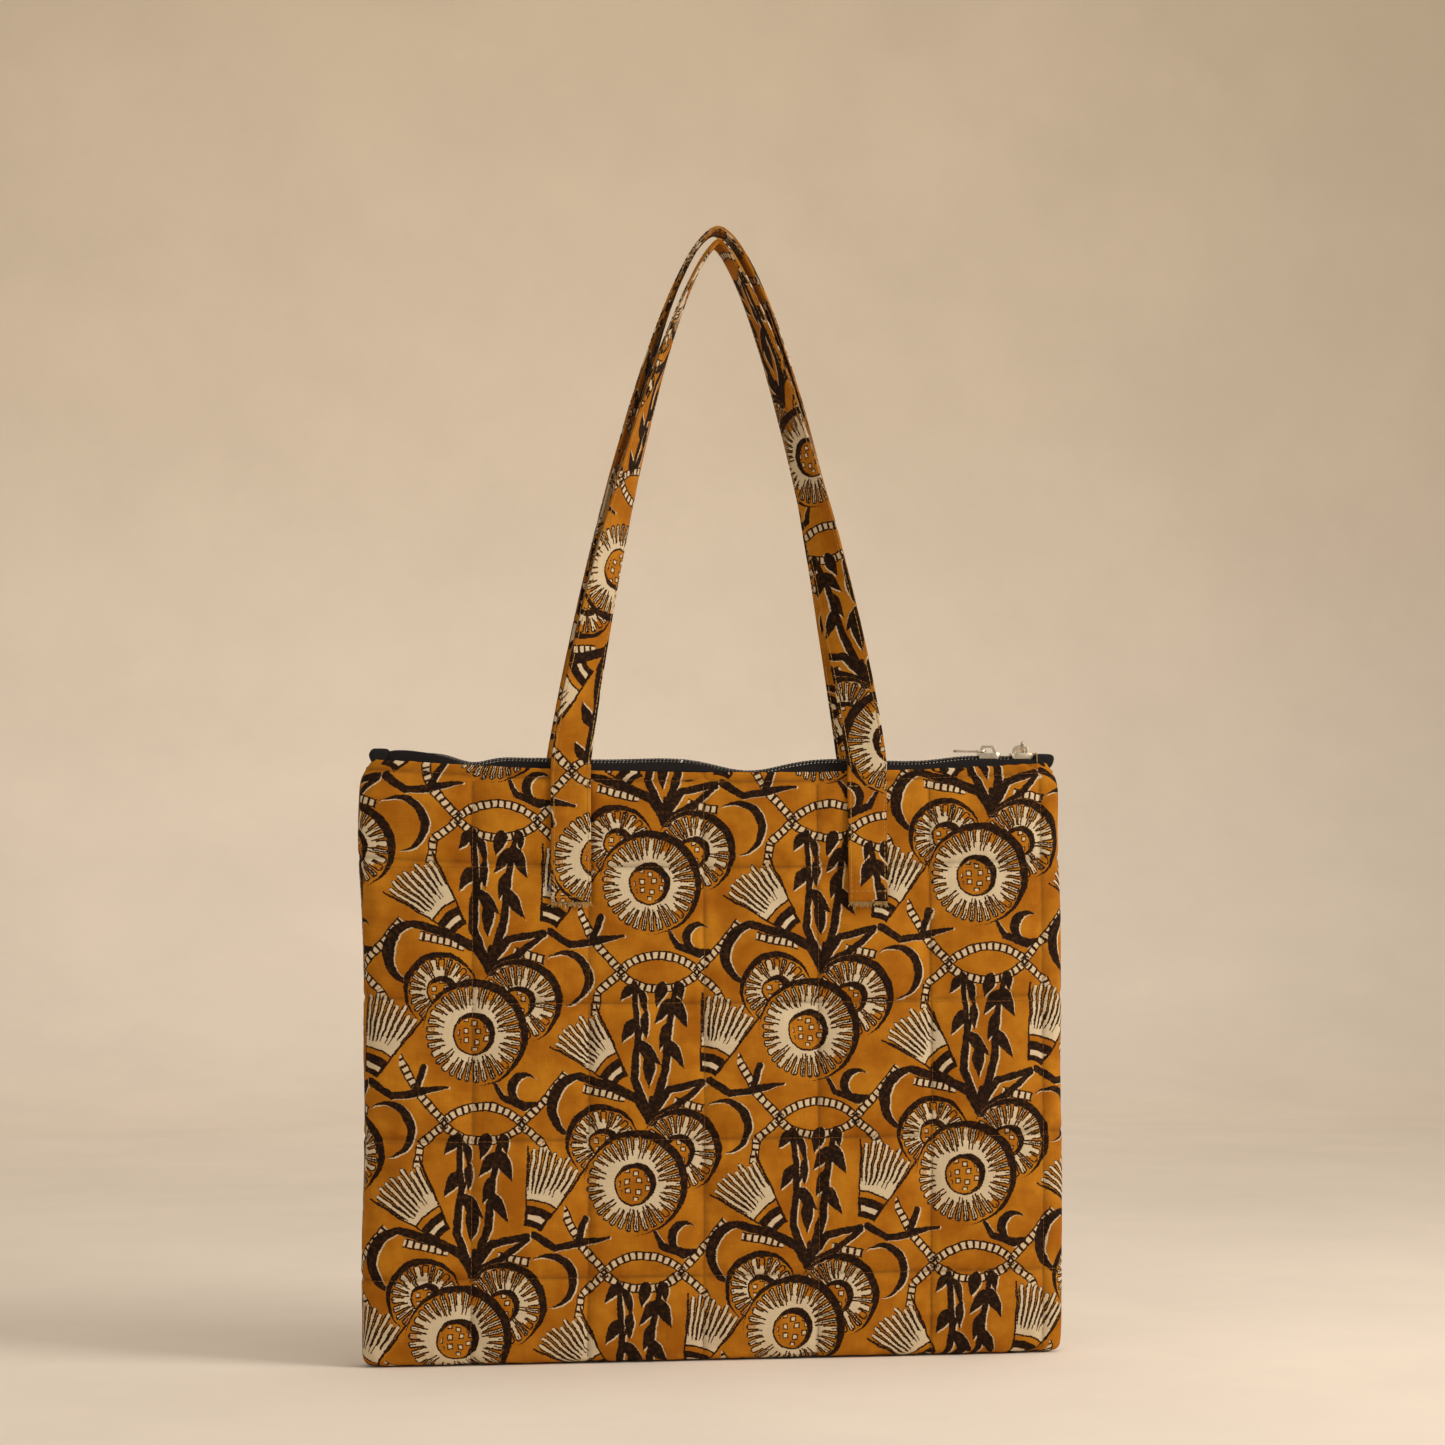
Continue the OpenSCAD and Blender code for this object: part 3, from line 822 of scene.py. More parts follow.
# The plan's curve: how far along it, in mm, each place (across, deep) lies from the middle
plan_turn = np.linspace(-math.pi / 2, math.pi / 2, 6001)
plan_x = np.sign(np.sin(plan_turn)) * np.abs(np.sin(plan_turn)) ** (2 / squareness)
plan_y = np.abs(np.cos(plan_turn)) ** (2 / squareness)
plan_step = np.hypot(np.diff(plan_x * half_w), np.diff(plan_y * half_depth(top_mid_h / 2)))
plan_run = np.concatenate([[0], np.cumsum(plan_step)])
plan_run -= plan_run[-1] / 2
beside = 1.4
seam_columns = [line + aside for line in quilt_columns for aside in (-beside, 0, beside)]
seam_rows = [line + aside for line in quilt_rows for aside in (-beside, 0, beside)]
columns = stations([plan_run[0], *seam_columns, plan_run[-1]], grid)
plan = [(np.interp(u, plan_run, plan_x), np.interp(u, plan_run, plan_y)) for u in columns]

# The profile's rows: along the base from its middle, round its edge, and up the side
flat_base = half_depth(0) - base_r
rows = [("base", s, -flat_base * (1 - s) - base_r) for s in (0, 0.5)]
rows += [("edge", a, base_r * (math.radians(a) - math.pi / 2) + base_r) for a in (0, 30, 60)]
heights = stations([base_r, *seam_rows, top_mid_h - topstitch_drop, top_mid_h], grid)
rows += [("side", z, z) for z in heights]


def skin(off, inner):
    """Points of one skin of a panel in mm, row by row; the inner one follows under the outer."""
    points = []
    for kind, amount, _ in rows:
        for across, deep in plan:
            x_out = half_w * across
            rim = top_z(x_out)
            share = (amount - base_r) / (top_mid_h - base_r) if kind == "side" else 0
            own = off
            if inner:
                near_top = min(max((share - 0.925) / 0.045, 0), 1)
                own = off + (rim_t - off) * near_top * near_top * (3 - 2 * near_top)
            r = max(base_r - own, 0.6)
            if kind == "base":
                z = own
                y = (half_depth(z) - own - r) * amount
            elif kind == "edge":
                z = own + r * (1 - math.cos(math.radians(amount)))
                y = half_depth(z) - own - r * (1 - math.sin(math.radians(amount)))
            else:
                z = own + r + (rim - own - r) * share
                y = half_depth(z) - own
            x = half_width(z, own) * across
            y = y * deep + slack(x_out, z) * deep
            points.append((x + flare(x_out, z), -y - 0.12, z))
    return points


def panel(name, side, material):
    """Closed quilted panel before it puffs up; side is -1 at the front and 1 at the back."""
    n = len(plan)
    m = len(rows)
    outer = skin(0.9, False)
    inner = skin(panel_t, True)
    brow = [((a[0] + b[0]) / 2, (a[1] + b[1]) / 2, a[2] + 0.5) for a, b in
            zip(outer[-n:], inner[-n:])]
    points = outer + inner + brow
    k = n * m
    faces = []
    for j in range(m - 1):
        for i in range(n - 1):
            a = j * n + i
            faces.append((a, a + 1, a + n + 1, a + n))
            faces.append((k + a, k + a + n, k + a + n + 1, k + a + 1))
    for i in range(n - 1):
        faces.append((i, k + i, k + i + 1, i + 1))
        a = (m - 1) * n + i
        faces.append((a, a + 1, 2 * k + i + 1, 2 * k + i))
        faces.append((2 * k + i, 2 * k + i + 1, k + a + 1, k + a))
    for j in range(m - 1):
        a = j * n
        faces.append((a, a + n, k + a + n, k + a))
        a = j * n + n - 1
        faces.append((a, k + a, k + a + n, a + n))
    last = (m - 1) * n
    faces.append((last, 2 * k, k + last))
    faces.append((last + n - 1, k + last + n - 1, 2 * k + n - 1))
    piece = made_of(name, [(x, y * -side, z) for x, y, z in points], faces, material)
    cloth = [(u, row[2], 0) for row in rows for u in columns] * 2
    cloth += [(u, rows[-1][2], 0) for u in columns]
    if side > 0:
        cloth = [(-u, v, 0) for u, v, _ in cloth]
    marked(piece, "cloth", cloth, mm)
    held = piece.vertex_groups.new(name="held")
    loose = set()
    lines_u = set(seam_columns)
    lines_v = set(seam_rows)
    for j in range(4, m - 2):
        for i in range(4, n - 4):
            x = half_w * plan[i][0]
            under_strap = abs(abs(x) - strap_x) < strap_w / 2 + 1 and rows[j][1] > strap_foot_h - 3
            if columns[i] not in lines_u and rows[j][2] not in lines_v and not under_strap:
                if rows[j][1] < top_mid_h - topstitch_drop:
                    loose.add(j * n + i)
    held.add([i for i in range(len(points)) if i not in loose], 1.0, "REPLACE")
    return piece


def made_of(name, points, faces, material):
    """Object from points in mm, with its faces turned outwards."""
    mesh = bpy.data.meshes.new(name)
    mesh.from_pydata([(x * mm, y * mm, z * mm) for x, y, z in points], [], faces)
    mesh.materials.append(material)
    shaped = bmesh.new()
    shaped.from_mesh(mesh)
    bmesh.ops.recalc_face_normals(shaped, faces=shaped.faces)
    shaped.to_mesh(mesh)
    shaped.free()
    mesh.shade_smooth()
    piece = bpy.data.objects.new(name, mesh)
    bpy.context.scene.collection.objects.link(piece)
    return piece


def marked(piece, name, values, scale=1.0):
    """Keeps a vector for each point on the mesh, under that name."""
    kept_values = piece.data.attributes.new(name, "FLOAT_VECTOR", "POINT")
    kept_values.data.foreach_set(
        "vector", (np.array(values, float) * scale).astype(np.float32).ravel()
    )


def settled(piece):
    """Applies the piece's modifiers."""
    seen = piece.evaluated_get(bpy.context.evaluated_depsgraph_get())
    mesh = bpy.data.meshes.new_from_object(seen, preserve_all_data_layers=True,
                                           depsgraph=bpy.context.evaluated_depsgraph_get())
    old = piece.data
    piece.modifiers.clear()
    piece.data = mesh
    mesh.name = piece.name
    bpy.data.meshes.remove(old)


def smoothed(piece, levels=1):
    rounder = piece.modifiers.new("rounder", "SUBSURF")
    rounder.levels = levels
    rounder.render_levels = levels
    settled(piece)


def positions(mesh):
    found = np.empty(len(mesh.vertices) * 3)
    mesh.vertices.foreach_get("co", found)
    return found.reshape(-1, 3)


front_print = printed_cotton("front_print", (-38.8, 255.5, 0))
back_print = printed_cotton("back_print", (21.0, 228.0, 0))
front_panel = panel("front_panel", -1, front_print)
back_panel = panel("back_panel", 1, back_print)

# The wadding pushes the cover out between the quilting lines
scene = bpy.context.scene
flat_shapes = {}
for piece in (front_panel, back_panel):
    flat_shapes[piece] = positions(piece.data)
    cloth = piece.modifiers.new("wadding", "CLOTH")
    cloth.settings.quality = 4
    cloth.settings.use_pressure = True
    cloth.settings.uniform_pressure_force = 4.0
    cloth.settings.shrink_min = -0.012
    cloth.settings.effector_weights.gravity = 0.0
    cloth.settings.vertex_group_mass = "held"
    cloth.point_cache.frame_start = 1
    cloth.point_cache.frame_end = 20
for step in range(1, 21):
    scene.frame_set(step)
for piece, before in flat_shapes.items():
    seen = piece.evaluated_get(bpy.context.evaluated_depsgraph_get())
    moved = positions(seen.data) - before
    far = np.linalg.norm(moved, axis=1, keepdims=True) + 1e-9
    moved *= puff * mm * np.tanh(far / (puff * mm)) / far
    piece.modifiers.clear()
    piece.data.vertices.foreach_set("co", (before + moved).ravel())
scene.frame_set(1)


# How deep and how wide the cover is drawn in at a quilting line, in mm
groove, groove_w, groove_limit = 0.8, 1.3, 1.1
broad_dip, dip_w = 0.15, 6.0
pucker_rise, pucker_w = 0.7, 8.0
# Width of the painted shade along a quilting line, in mm
painted_seam_shade_w = 0.9


def near(distance, width):
    """1 on a line, falling off to nothing over about twice the width."""
    return math.exp(-((distance / width) ** 2))


def quilted(piece, side):
    """Draws the cover in along the quilting lines, with the small puckers beside them; keeps a
    mask of painted shade there.
    """
    smoothed(piece)
    mesh = piece.data
    places = np.empty(len(mesh.vertices) * 3)
    mesh.attributes["cloth"].data.foreach_get("vector", places)
    places = places.reshape(-1, 3) / mm
    points = positions(mesh)
    outwards = np.empty(len(mesh.vertices) * 3)
    mesh.vertices.foreach_get("normal", outwards)
    outwards = outwards.reshape(-1, 3)
    seams = np.zeros(len(mesh.vertices), np.float32)
    for i, (u, v, _) in enumerate(places):
        if side * outwards[i][1] < -0.2:
            continue
        own_u = -u if side > 0 else u
        along_v = min(abs(own_u - line) for line in quilt_columns)
        along_u = min(abs(v - line) for line in quilt_rows + [top_mid_h - topstitch_drop])
        drawn_in_and_painted_shade = groove * (near(along_v, groove_w) + near(along_u, groove_w))
        dip = broad_dip * (near(along_v, dip_w) + near(along_u, dip_w))
        # Painted shade: a mask, 1 on the quilting lines and the topstitching, that darkens the
        # cloth's colour there
        seams[i] = max(near(along_v, painted_seam_shade_w), near(along_u, painted_seam_shade_w))
        pucker = pucker_rise * unevenness(u / 26, v / 4.4, 1.0) * near(along_v, pucker_w)
        pucker += pucker_rise * unevenness(u / 4.4, v / 26, 5.0) * near(along_u, pucker_w)
        crease = 0.35 * unevenness(u / 11, v / 15, 8.0)
        points[i] += outwards[i] * (pucker + crease - min(drawn_in_and_painted_shade, groove_limit) - dip) * mm
    mesh.vertices.foreach_set("co", points.ravel())
    mesh.attributes.new("drawn_in_and_painted_shade", "FLOAT", "POINT").data.foreach_set("value", seams)
    mesh.update()


quilted(front_panel, -1)
quilted(back_panel, 1)
for piece, side in ((front_panel, "front"), (back_panel, "back")):
    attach(piece, "bag")
    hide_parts(side + "_cover", side + "_wadding")


# Machine stitches: one tree lays a short curved length of thread at each pitch along lines that
# carry the direction that faces out of the cloth
def socket_of(tree, label, kind, value=None):
    socket = tree.interface.new_socket(label, in_out="INPUT", socket_type="NodeSocket" + kind)
    if value is not None:
        socket.default_value = value
    return socket.identifier


def step_of(tree, kind, **values):
    """A Geometry Nodes node with its inputs set by name; underscores stand for spaces."""
    node = tree.nodes.new(kind)
    for label, value in values.items():
        put(node.inputs[label.replace("_", " ")], value)
    return node


def row_tree(name, **sizes):
    """Tree that lays pieces along lines; the identifiers of its inputs, and its two ends."""
    tree = bpy.data.node_groups.new(name, "GeometryNodeTree")
    socket_of(tree, "Geometry", "Geometry")
    ids = {label: socket_of(tree, label, "Float", value) for label, value in sizes.items()}
    ids["Thread"] = socket_of(tree, "Thread", "Material")
    tree.interface.new_socket("Geometry", in_out="OUTPUT", socket_type="NodeSocketGeometry")
    given = tree.nodes.new("NodeGroupInput").outputs
    made = tree.nodes.new("NodeGroupOutput").inputs
    return tree, ids, given, made


stitch_row, stitch_ids, given, made = row_tree(
    "stitch_row", Pitch=0.0028, Length=0.0022, Thickness=0.00042, Rise=0.00035
)


def aligned(tree, along, outward):
    """Rotation that turns X along the line and Z out of the cloth."""
    first = tree.nodes.new("FunctionNodeAlignRotationToVector")
    first.axis = "X"
    put(first.inputs["Vector"], along)
    second = tree.nodes.new("FunctionNodeAlignRotationToVector")
    second.axis = "Z"
    second.pivot_axis = "X"
    put(second.inputs["Rotation"], first.outputs[0])
    put(second.inputs["Vector"], outward)
    return second.outputs[0]


def outward_of(tree):
    node = tree.nodes.new("GeometryNodeInputNamedAttribute")
    node.data_type = "FLOAT_VECTOR"
    node.inputs["Name"].default_value = "outward"
    return node.outputs["Attribute"]


def spot_of(tree, x, z):
    node = tree.nodes.new("ShaderNodeCombineXYZ")
    put(node.inputs["X"], x)
    put(node.inputs["Z"], z)
    return node.outputs[0]


def random_size(tree, seed, low, high):
    node = step_of(tree, "FunctionNodeRandomValue", Seed=seed)
    node.data_type = "FLOAT"
    node.inputs[2].default_value = low
    node.inputs[3].default_value = high
    return node.outputs[1]


def lay_out(tree, given, made, one, spacing, turn=None, scale=None):
    """Sets one piece at each step of the lines, as real mesh with its material."""
    line = step_of(tree, "GeometryNodeMeshToCurve", Mesh=given["Geometry"])
    spaced = tree.nodes.new("GeometryNodeResampleCurve")
    spaced.mode = "LENGTH"
    put(spaced.inputs["Curve"], line.outputs[0])
    put(spaced.inputs["Length"], given[spacing])
    tangent = tree.nodes.new("GeometryNodeInputTangent")
    rotation = aligned(tree, tangent.outputs[0], outward_of(tree))
    if turn:
        rolled = step_of(tree, "FunctionNodeRotateRotation", Rotation=rotation, Rotate_By=turn)
        rolled.rotation_space = "LOCAL"
        rotation = rolled.outputs[0]
    laid = step_of(
        tree, "GeometryNodeInstanceOnPoints", Points=spaced.outputs[0], Instance=one.outputs[0],
        Rotation=rotation, Scale=scale,
    )
    real = step_of(tree, "GeometryNodeRealizeInstances", Geometry=laid.outputs[0])
    smooth = step_of(tree, "GeometryNodeSetShadeSmooth", Geometry=real.outputs[0])
    done = step_of(
        tree, "GeometryNodeSetMaterial", Geometry=smooth.outputs[0], Material=given["Thread"]
    )
    put(made["Geometry"], done.outputs[0])


half_length = times(given["Length"], 0.5)
back_length = times(given["Length"], -0.5)
sunk = times(given["Thickness"], -0.4)
arc = step_of(
    stitch_row, "GeometryNodeCurveQuadraticBezier", Resolution=4,
    Start=spot_of(stitch_row, back_length, sunk),
    Middle=spot_of(stitch_row, 0.0, given["Rise"]),
    End=spot_of(stitch_row, half_length, sunk),
)
ring = step_of(
    stitch_row, "GeometryNodeCurvePrimitiveCircle", Resolution=5,
    Radius=times(given["Thickness"], 0.5)
)
one_stitch = step_of(
    stitch_row, "GeometryNodeCurveToMesh", Curve=arc.outputs[0], Profile_Curve=ring.outputs[0],
    Fill_Caps=True,
)
lay_out(stitch_row, given, made, one_stitch, "Pitch", scale=random_size(stitch_row, 7, 0.88, 1.06))


def lines_of(name, lines):
    """Object of open lines; each point is (place in mm, direction out of the cloth)."""
    mesh = bpy.data.meshes.new(name)
    points = []
    edges = []
    outwards = []
    for line_points in lines:
        edges += [(len(points) + i, len(points) + i + 1) for i in range(len(line_points) - 1)]
        points += [Vector(place) * mm for place, _ in line_points]
        outwards += [tuple(outward) for _, outward in line_points]
    mesh.from_pydata(points, edges, [])
    piece = bpy.data.objects.new(name, mesh)
    scene.collection.objects.link(piece)
    marked(piece, "outward", outwards)
    return piece


def worked(piece, tree, ids, material, **sizes):
    """Runs a Geometry Nodes tree on the piece and leaves its plain mesh."""
    modifier = piece.modifiers.new("work", "NODES")
    modifier.node_group = tree
    for label, value in sizes.items():
        modifier[ids[label]] = value
    modifier[ids["Thread"]] = material
    piece.update_tag()
    settled(piece)
    return piece


def thread_material(name, colour, roughness=0.6):
    """Spun thread: two plies wound round each other, a little uneven in colour."""
    made_new, tree, shader = material_of(name, roughness)
    shader["Specular IOR Level"].default_value = 0.2
    place = place_on(tree)
    tone = noise_of(place, 900.0, 2.0)
    shade = tuple(part * 0.62 for part in colour[:3]) + (1.0,)
    put(shader["Base Color"], mixed(tone, shade, colour))
    ply = tree.nodes.new("ShaderNodeTexWave")
    ply.bands_direction = "DIAGONAL"
    put(ply.inputs["Vector"], place)
    ply.inputs["Scale"].default_value = 1100.0
    raised(shader, ply.outputs["Fac"], 0.00004, 0.4)
    return made_new


quilt_thread = thread_material("quilting_thread", linear(142, 88, 26))


def on_cloth(tree_of_faces, x, z, side):
    """The panel's face at a place seen from its side, with its direction out of the cloth."""
    hit, normal, _, _ = tree_of_faces.ray_cast(
        Vector((x * mm, side * 0.08, z * mm)), Vector((0, -side, 0))
    )
    if hit is None:
        return None
    return hit / mm + normal * 0.06, normal


def stitched_panel(piece, side, name):
    faces = BVHTree.FromObject(piece, bpy.context.evaluated_depsgraph_get())
    edge = half_w - 3
    runs = [[(x, z) for z in np.arange(2.0, top_mid_h - 6, 2.0)] for x in quilt_columns]
    runs += [[(x, z) for x in np.arange(-edge, edge, 2.0)] for z in quilt_rows]
    runs += [[(x, top_z(x) - topstitch_drop) for x in np.arange(-edge, edge, 2.0)]]
    lines = []
    for run in runs:
        found = [on_cloth(faces, side * -x, z, side) for x, z in run]
        lines.append([point for point in found if point])
    thread = lines_of(name, lines)
    worked(thread, stitch_row, stitch_ids, quilt_thread, Pitch=2.9 * mm, Length=2.3 * mm,
           Thickness=0.32 * mm, Rise=0.16 * mm)
    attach(thread, "bag")
    return faces


front_faces = stitched_panel(front_panel, -1, "front_quilting_thread")
back_faces = stitched_panel(back_panel, 1, "back_quilting_thread")

# ---------------------------------------------------------------------------------------------
# Straps. Each is one band of the printed cloth folded in four, pressed, and stitched along both
# edges; its raw ends are sewn flat on the panel with a boxed seam and have begun to fray.
# ---------------------------------------------------------------------------------------------

strap_t = 3.0
strap_h = 317.0
strap_fold_h = strap_h + 0.3
foot_rise = 3.0
foot_y = half_depth(strap_h) + 0.5 + strap_t / 2
top_offset = 1.5
strap_seam = 9.2
box_seam_h = strap_foot_h + 4.5


def arch(t, rise, fullness, lift, side):
    """Middle line of a handle in mm, from foot to foot as t goes from 0 to 180 degrees."""
    sine = math.sin(math.radians(t))
    cosine = math.cos(math.radians(t))
    h = max(sine, 0) ** lift
    x = -strap_x * math.copysign(abs(cosine) ** fullness, cosine)
    return Vector(
        (x, side * (foot_y + (top_offset - foot_y) * h), strap_fold_h + foot_rise + rise * h)
    )


def strap_frames(rise, fullness, lift, side, faces):
    """Frames (middle, across, through) along a strap, from its left end to its right one."""
    sewn = []
    for z in stations([strap_foot_h, strap_h - 2], 3.0):
        hit, _ = on_cloth(faces, -strap_x, z, side)
        sewn.append((hit.y, z))
    ys = np.convolve(np.pad([y for y, _ in sewn], 2, mode="edge"), np.ones(5) / 5, "valid")
    lying = [(y + side * (strap_t / 2 + 0.1), z) for y, (_, z) in zip(ys, sewn)]
    frames = []
    upright = Vector((0, 0, 1))
    for y, z in lying:
        frames.append((Vector((-strap_x, y, z)), Vector((1, 0, 0)), Vector((0, 1, 0))))
    for z in (strap_h, strap_fold_h + foot_rise * 0.5):
        near = 0.5 if z == strap_h else 1
        y = side * (foot_y * near + abs(lying[-1][0]) * (1 - near))
        frames.append((Vector((-strap_x, y, z)), Vector((1, 0, 0)), Vector((0, 1, 0))))
    count = 250
    for i in range(count + 1):
        t = 180 * i / count
        here = arch(t, rise, fullness, lift, side)
        ahead = arch(min(t + 0.4, 180), rise, fullness, lift, side)
        behind = arch(max(t - 0.4, 0), rise, fullness, lift, side)
        along = (ahead - behind).normalized()
        if t < 0.4 or t > 179.6:
            along = upright * (1 if t < 90 else -1)
        turn = math.radians(90 * max(math.sin(math.radians(t)), 0) ** 1.43)
        swing = turn if t < 90 else math.pi - turn
        flat = Vector((math.cos(swing), math.sin(swing), 0))
        across = (flat - along * flat.dot(along)).normalized()
        frames.append((here, across, along.cross(across)))
    last = [(Vector((strap_x, middle.y, middle.z)), Vector((-1, 0, 0)), through)
            for middle, _, through in frames[: len(lying) + 2]]
    return frames + last[::-1]


def tube(rings, n):
    """Faces round a tube that has n points to each ring."""
    return [
        (j * n + i, j * n + (i + 1) % n, (j + 1) * n + (i + 1) % n, (j + 1) * n + i)
        for j in range(rings - 1) for i in range(n)
    ]


def flat_tube(rings, n):
    """Faces of a flat tube that is closed at both ends."""
    faces = tube(rings, n)
    for j in (0, rings - 1):
        faces += [(j * n + i, j * n + i + 1, j * n + n - 2 - i, j * n + n - 1 - i)
                  for i in range(n // 2 - 1)]
    return faces


# Half of the strap's section: how thick it is at each place across it
strap_section = [(0.0, 0.93), (2.5, 0.95), (5.0, 1.0), (7.2, 1.0), (8.4, 0.86), (9.2, 0.68),
                 (9.9, 0.84), (10.5, 0.72), (10.85, 0.4)]


def strap(name, numbers, side, faces, material):
    frames = strap_frames(*numbers, side, faces)
    upper = [(-w, h) for w, h in reversed(strap_section)] + strap_section[1:]
    loop = [(w, h) for w, h in upper] + [(w, -h) for w, h in reversed(upper)]
    points = []
    cloth = []
    run = 0.0
    before = frames[0][0]
    stem = side * 40.0
    for middle, across, through in frames:
        run += (middle - before).length
        before = middle
        narrow = 1 + 0.012 * unevenness(run / 24, stem, 1.0)
        for w, h in loop:
            swell = 1 + 0.16 * unevenness(run / 11, w / 5, stem + (3 if h > 0 else 9))
            lift = h * strap_t / 2 * swell
            wave = 0.25 * unevenness(run / 30, w / 14, stem + 17)
            points.append(tuple(middle + across * (w * narrow) + through * (lift + wave)))
            cloth.append((-w if h > 0 else w - 26, -run, 0))
    piece = made_of(name, points, flat_tube(len(frames), len(loop)), material)
    marked(piece, "cloth", cloth, mm)
    smoothed(piece)
    return piece, frames


def strap_lines(frames, side):
    """Stitch lines on both faces along the strap's edges, and across its sewn ends."""
    lines = []
    lying = [i for i, (middle, _, _) in enumerate(frames) if middle.z < strap_h]
    for edge in (-strap_seam, strap_seam):
        for face in (-1, 1):
            run = []
            for i, (middle, across, through) in enumerate(frames):
                if i in lying and face != side:
                    continue
                if middle.z < strap_foot_h + 3:
                    continue
                place = middle + across * edge + through * (face * (strap_t * 0.34 + 0.12))
                run.append((place, through * face))
            lines.append(run)
    for height in (box_seam_h, strap_h - 7):
        for end in (-1, 1):
            middle = min(
                (f for f in frames if f[0].x * end > 0), key=lambda f: abs(f[0].z - height)
            )
            run = []
            for w in np.linspace(-strap_seam, strap_seam, 9):
                place = middle[0] + middle[1] * w + middle[2] * (side * (strap_t * 0.48))
                run.append((place, middle[2] * side))
            lines.append(run)
    return lines


# Frayed yarns at a raw end: one yarn at each step of a line, bent and turned at random
fray, fray_ids, given, made = row_tree("frayed_edge", Step=0.0005, Length=0.003, Thickness=0.00025)
bend = step_of(
    fray, "GeometryNodeCurveQuadraticBezier", Resolution=4, Start=(0.0, 0.0, 0.0),
    Middle=spot_of(fray, 0.0004, times(given["Length"], 0.5)),
    End=spot_of(fray, -0.0006, given["Length"])
)
ring = step_of(
    fray, "GeometryNodeCurvePrimitiveCircle", Resolution=4, Radius=times(given["Thickness"], 0.5)
)
yarn_end = step_of(
    fray, "GeometryNodeCurveToMesh", Curve=bend.outputs[0], Profile_Curve=ring.outputs[0],
    Fill_Caps=True,
)
turned = step_of(fray, "FunctionNodeRandomValue", Seed=11)
turned.data_type = "FLOAT_VECTOR"
turned.inputs[0].default_value = (-0.5, -0.75, -3.0)
turned.inputs[1].default_value = (0.5, 0.75, 3.0)
lay_out(fray, given, made, yarn_end, "Step", turned.outputs[0], random_size(fray, 23, 0.25, 1.0))

strap_thread = thread_material("strap_thread", linear(196, 148, 74))
yarn_fluff = thread_material("loose_yarn", linear(214, 176, 112), 0.9)
handles = {
    "front": (286.0, 2 / 1.4, 2 / 1.15, -1, front_faces, (-10.0, -24.0, 0)),
    "back": (293.5, 2 / 1.7, 2 / 1.04, 1, back_faces, (-14.0, -60.0, 0)),
}
for which, (rise, fullness, lift, side, faces, start) in handles.items():
    material = printed_cotton(which + "_strap_print", start)
    band, frames = strap(which + "_strap", (rise, fullness, lift), side, faces, material)
    seams = lines_of(which + "_strap_thread", strap_lines(frames, side))
    worked(seams, stitch_row, stitch_ids, strap_thread, Pitch=2.9 * mm, Length=2.4 * mm,
           Thickness=0.42 * mm, Rise=0.3 * mm)
    fringe_lines = []
    for foot in (frames[0], frames[-1]):
        for layer in (-0.7, 0.0, 0.7):
            run = []
            for w in np.linspace(-10.4, 10.4, 9):
                drop = 0.5 * math.sin(w * 0.9 + layer)
                place = foot[0] + foot[1] * w + foot[2] * layer + Vector((0, 0, drop + 0.6))
                run.append((place, (0, 0, -1)))
            fringe_lines.append(run)
    fringe = lines_of(which + "_strap_fraying", fringe_lines)
    worked(fringe, fray, fray_ids, yarn_fluff, Step=0.4 * mm, Length=4.0 * mm, Thickness=0.28 * mm)
    for piece in (band, seams, fringe):
        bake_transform(piece)
    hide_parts(which + "_handle", which + "_left_strap_end", which + "_right_strap_end")

# A bit of blue thread was caught in the fraying of the left end
caught_spots = [
    on_cloth(front_faces, -93.6 + 0.25 * i, strap_foot_h + 8 - 1.3 * math.cos(i * 0.9), -1)
    for i in range(11)
]
caught = lines_of("caught_blue_thread", [caught_spots])
worked(caught, stitch_row, stitch_ids, thread_material("blue_thread", linear(66, 78, 150)),
       Pitch=0.8 * mm, Length=1.1 * mm, Thickness=0.45 * mm, Rise=0.5 * mm)
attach(caught, "bag")

# ---------------------------------------------------------------------------------------------
# Zip tapes. Woven black polyester, one to each panel. The hem is sewn inside the panel's edge;
# above it the tape folds inwards to the coils, sags a little in the middle, and stands up in
# a hump where it runs out at the left.
# ---------------------------------------------------------------------------------------------

fold_h = 316.5
fold_y = 9.5
flat_y = 4.6
edge_y = 1.2
tape_z = 324.0
tape_t = 0.7
tape_half = half_w - 11.5
hem_half = tape_half - 18.5
open_left = 150.0
open_right = 131.0
meet = -20.0


def step_between(x, a, b):
    share = min(max((x - a) / (b - a), 0), 1)
    return share * share * (3 - 2 * share)


def zip_sag(x):
    """How far the zip lies below its straight line there, in mm; below 0 it stands above it."""
    shallow = 2.6 * step_between(x, -140, -100) * (1 - step_between(x, 112, 143))
    dip = 5.6 * math.exp(-(((x - 17) / 24) ** 2))
    dip += 4.6 * math.exp(-(((x + 133) / 12) ** 2))
    ripple = 0.5 * math.sin(x / 13.5) * step_between(x, -120, -80) * (
        1 - step_between(x, 100, 128)
    )
    return shallow + dip + ripple


def tape_profile(x, side):
    """The tape's section at x from the fold to its inner edge, as (y, z) in mm."""
    z = tape_z - zip_sag(x)
    rise = z - fold_h
    fold = min(
        fold_y,
        half_depth(top_mid_h) * (1 - (abs(x) / half_w) ** squareness) ** (1 / squareness) - 2.4
    )
    hump = 4.9 * step_between(x, -190, -174) * (1 - step_between(x, -172, -134)) if side < 0 else 0
    wide = fold - flat_y
    line_points = [(fold, fold_h), (flat_y + 0.85 * wide, fold_h + 0.26 * rise + 0.3 * hump),
                   (flat_y + 0.6 * wide, fold_h + 0.62 * rise + 0.75 * hump),
                   (flat_y + 0.42 * wide, fold_h + 0.9 * rise + hump),
                   (flat_y + 0.26 * wide, z + 0.5 * hump), (flat_y + 0.09 * wide, z + 0.06 * hump),
                   (flat_y - 0.2, z), (3.0, z), (edge_y, z)]
    return [(y * side, z_own) for y, z_own in line_points]


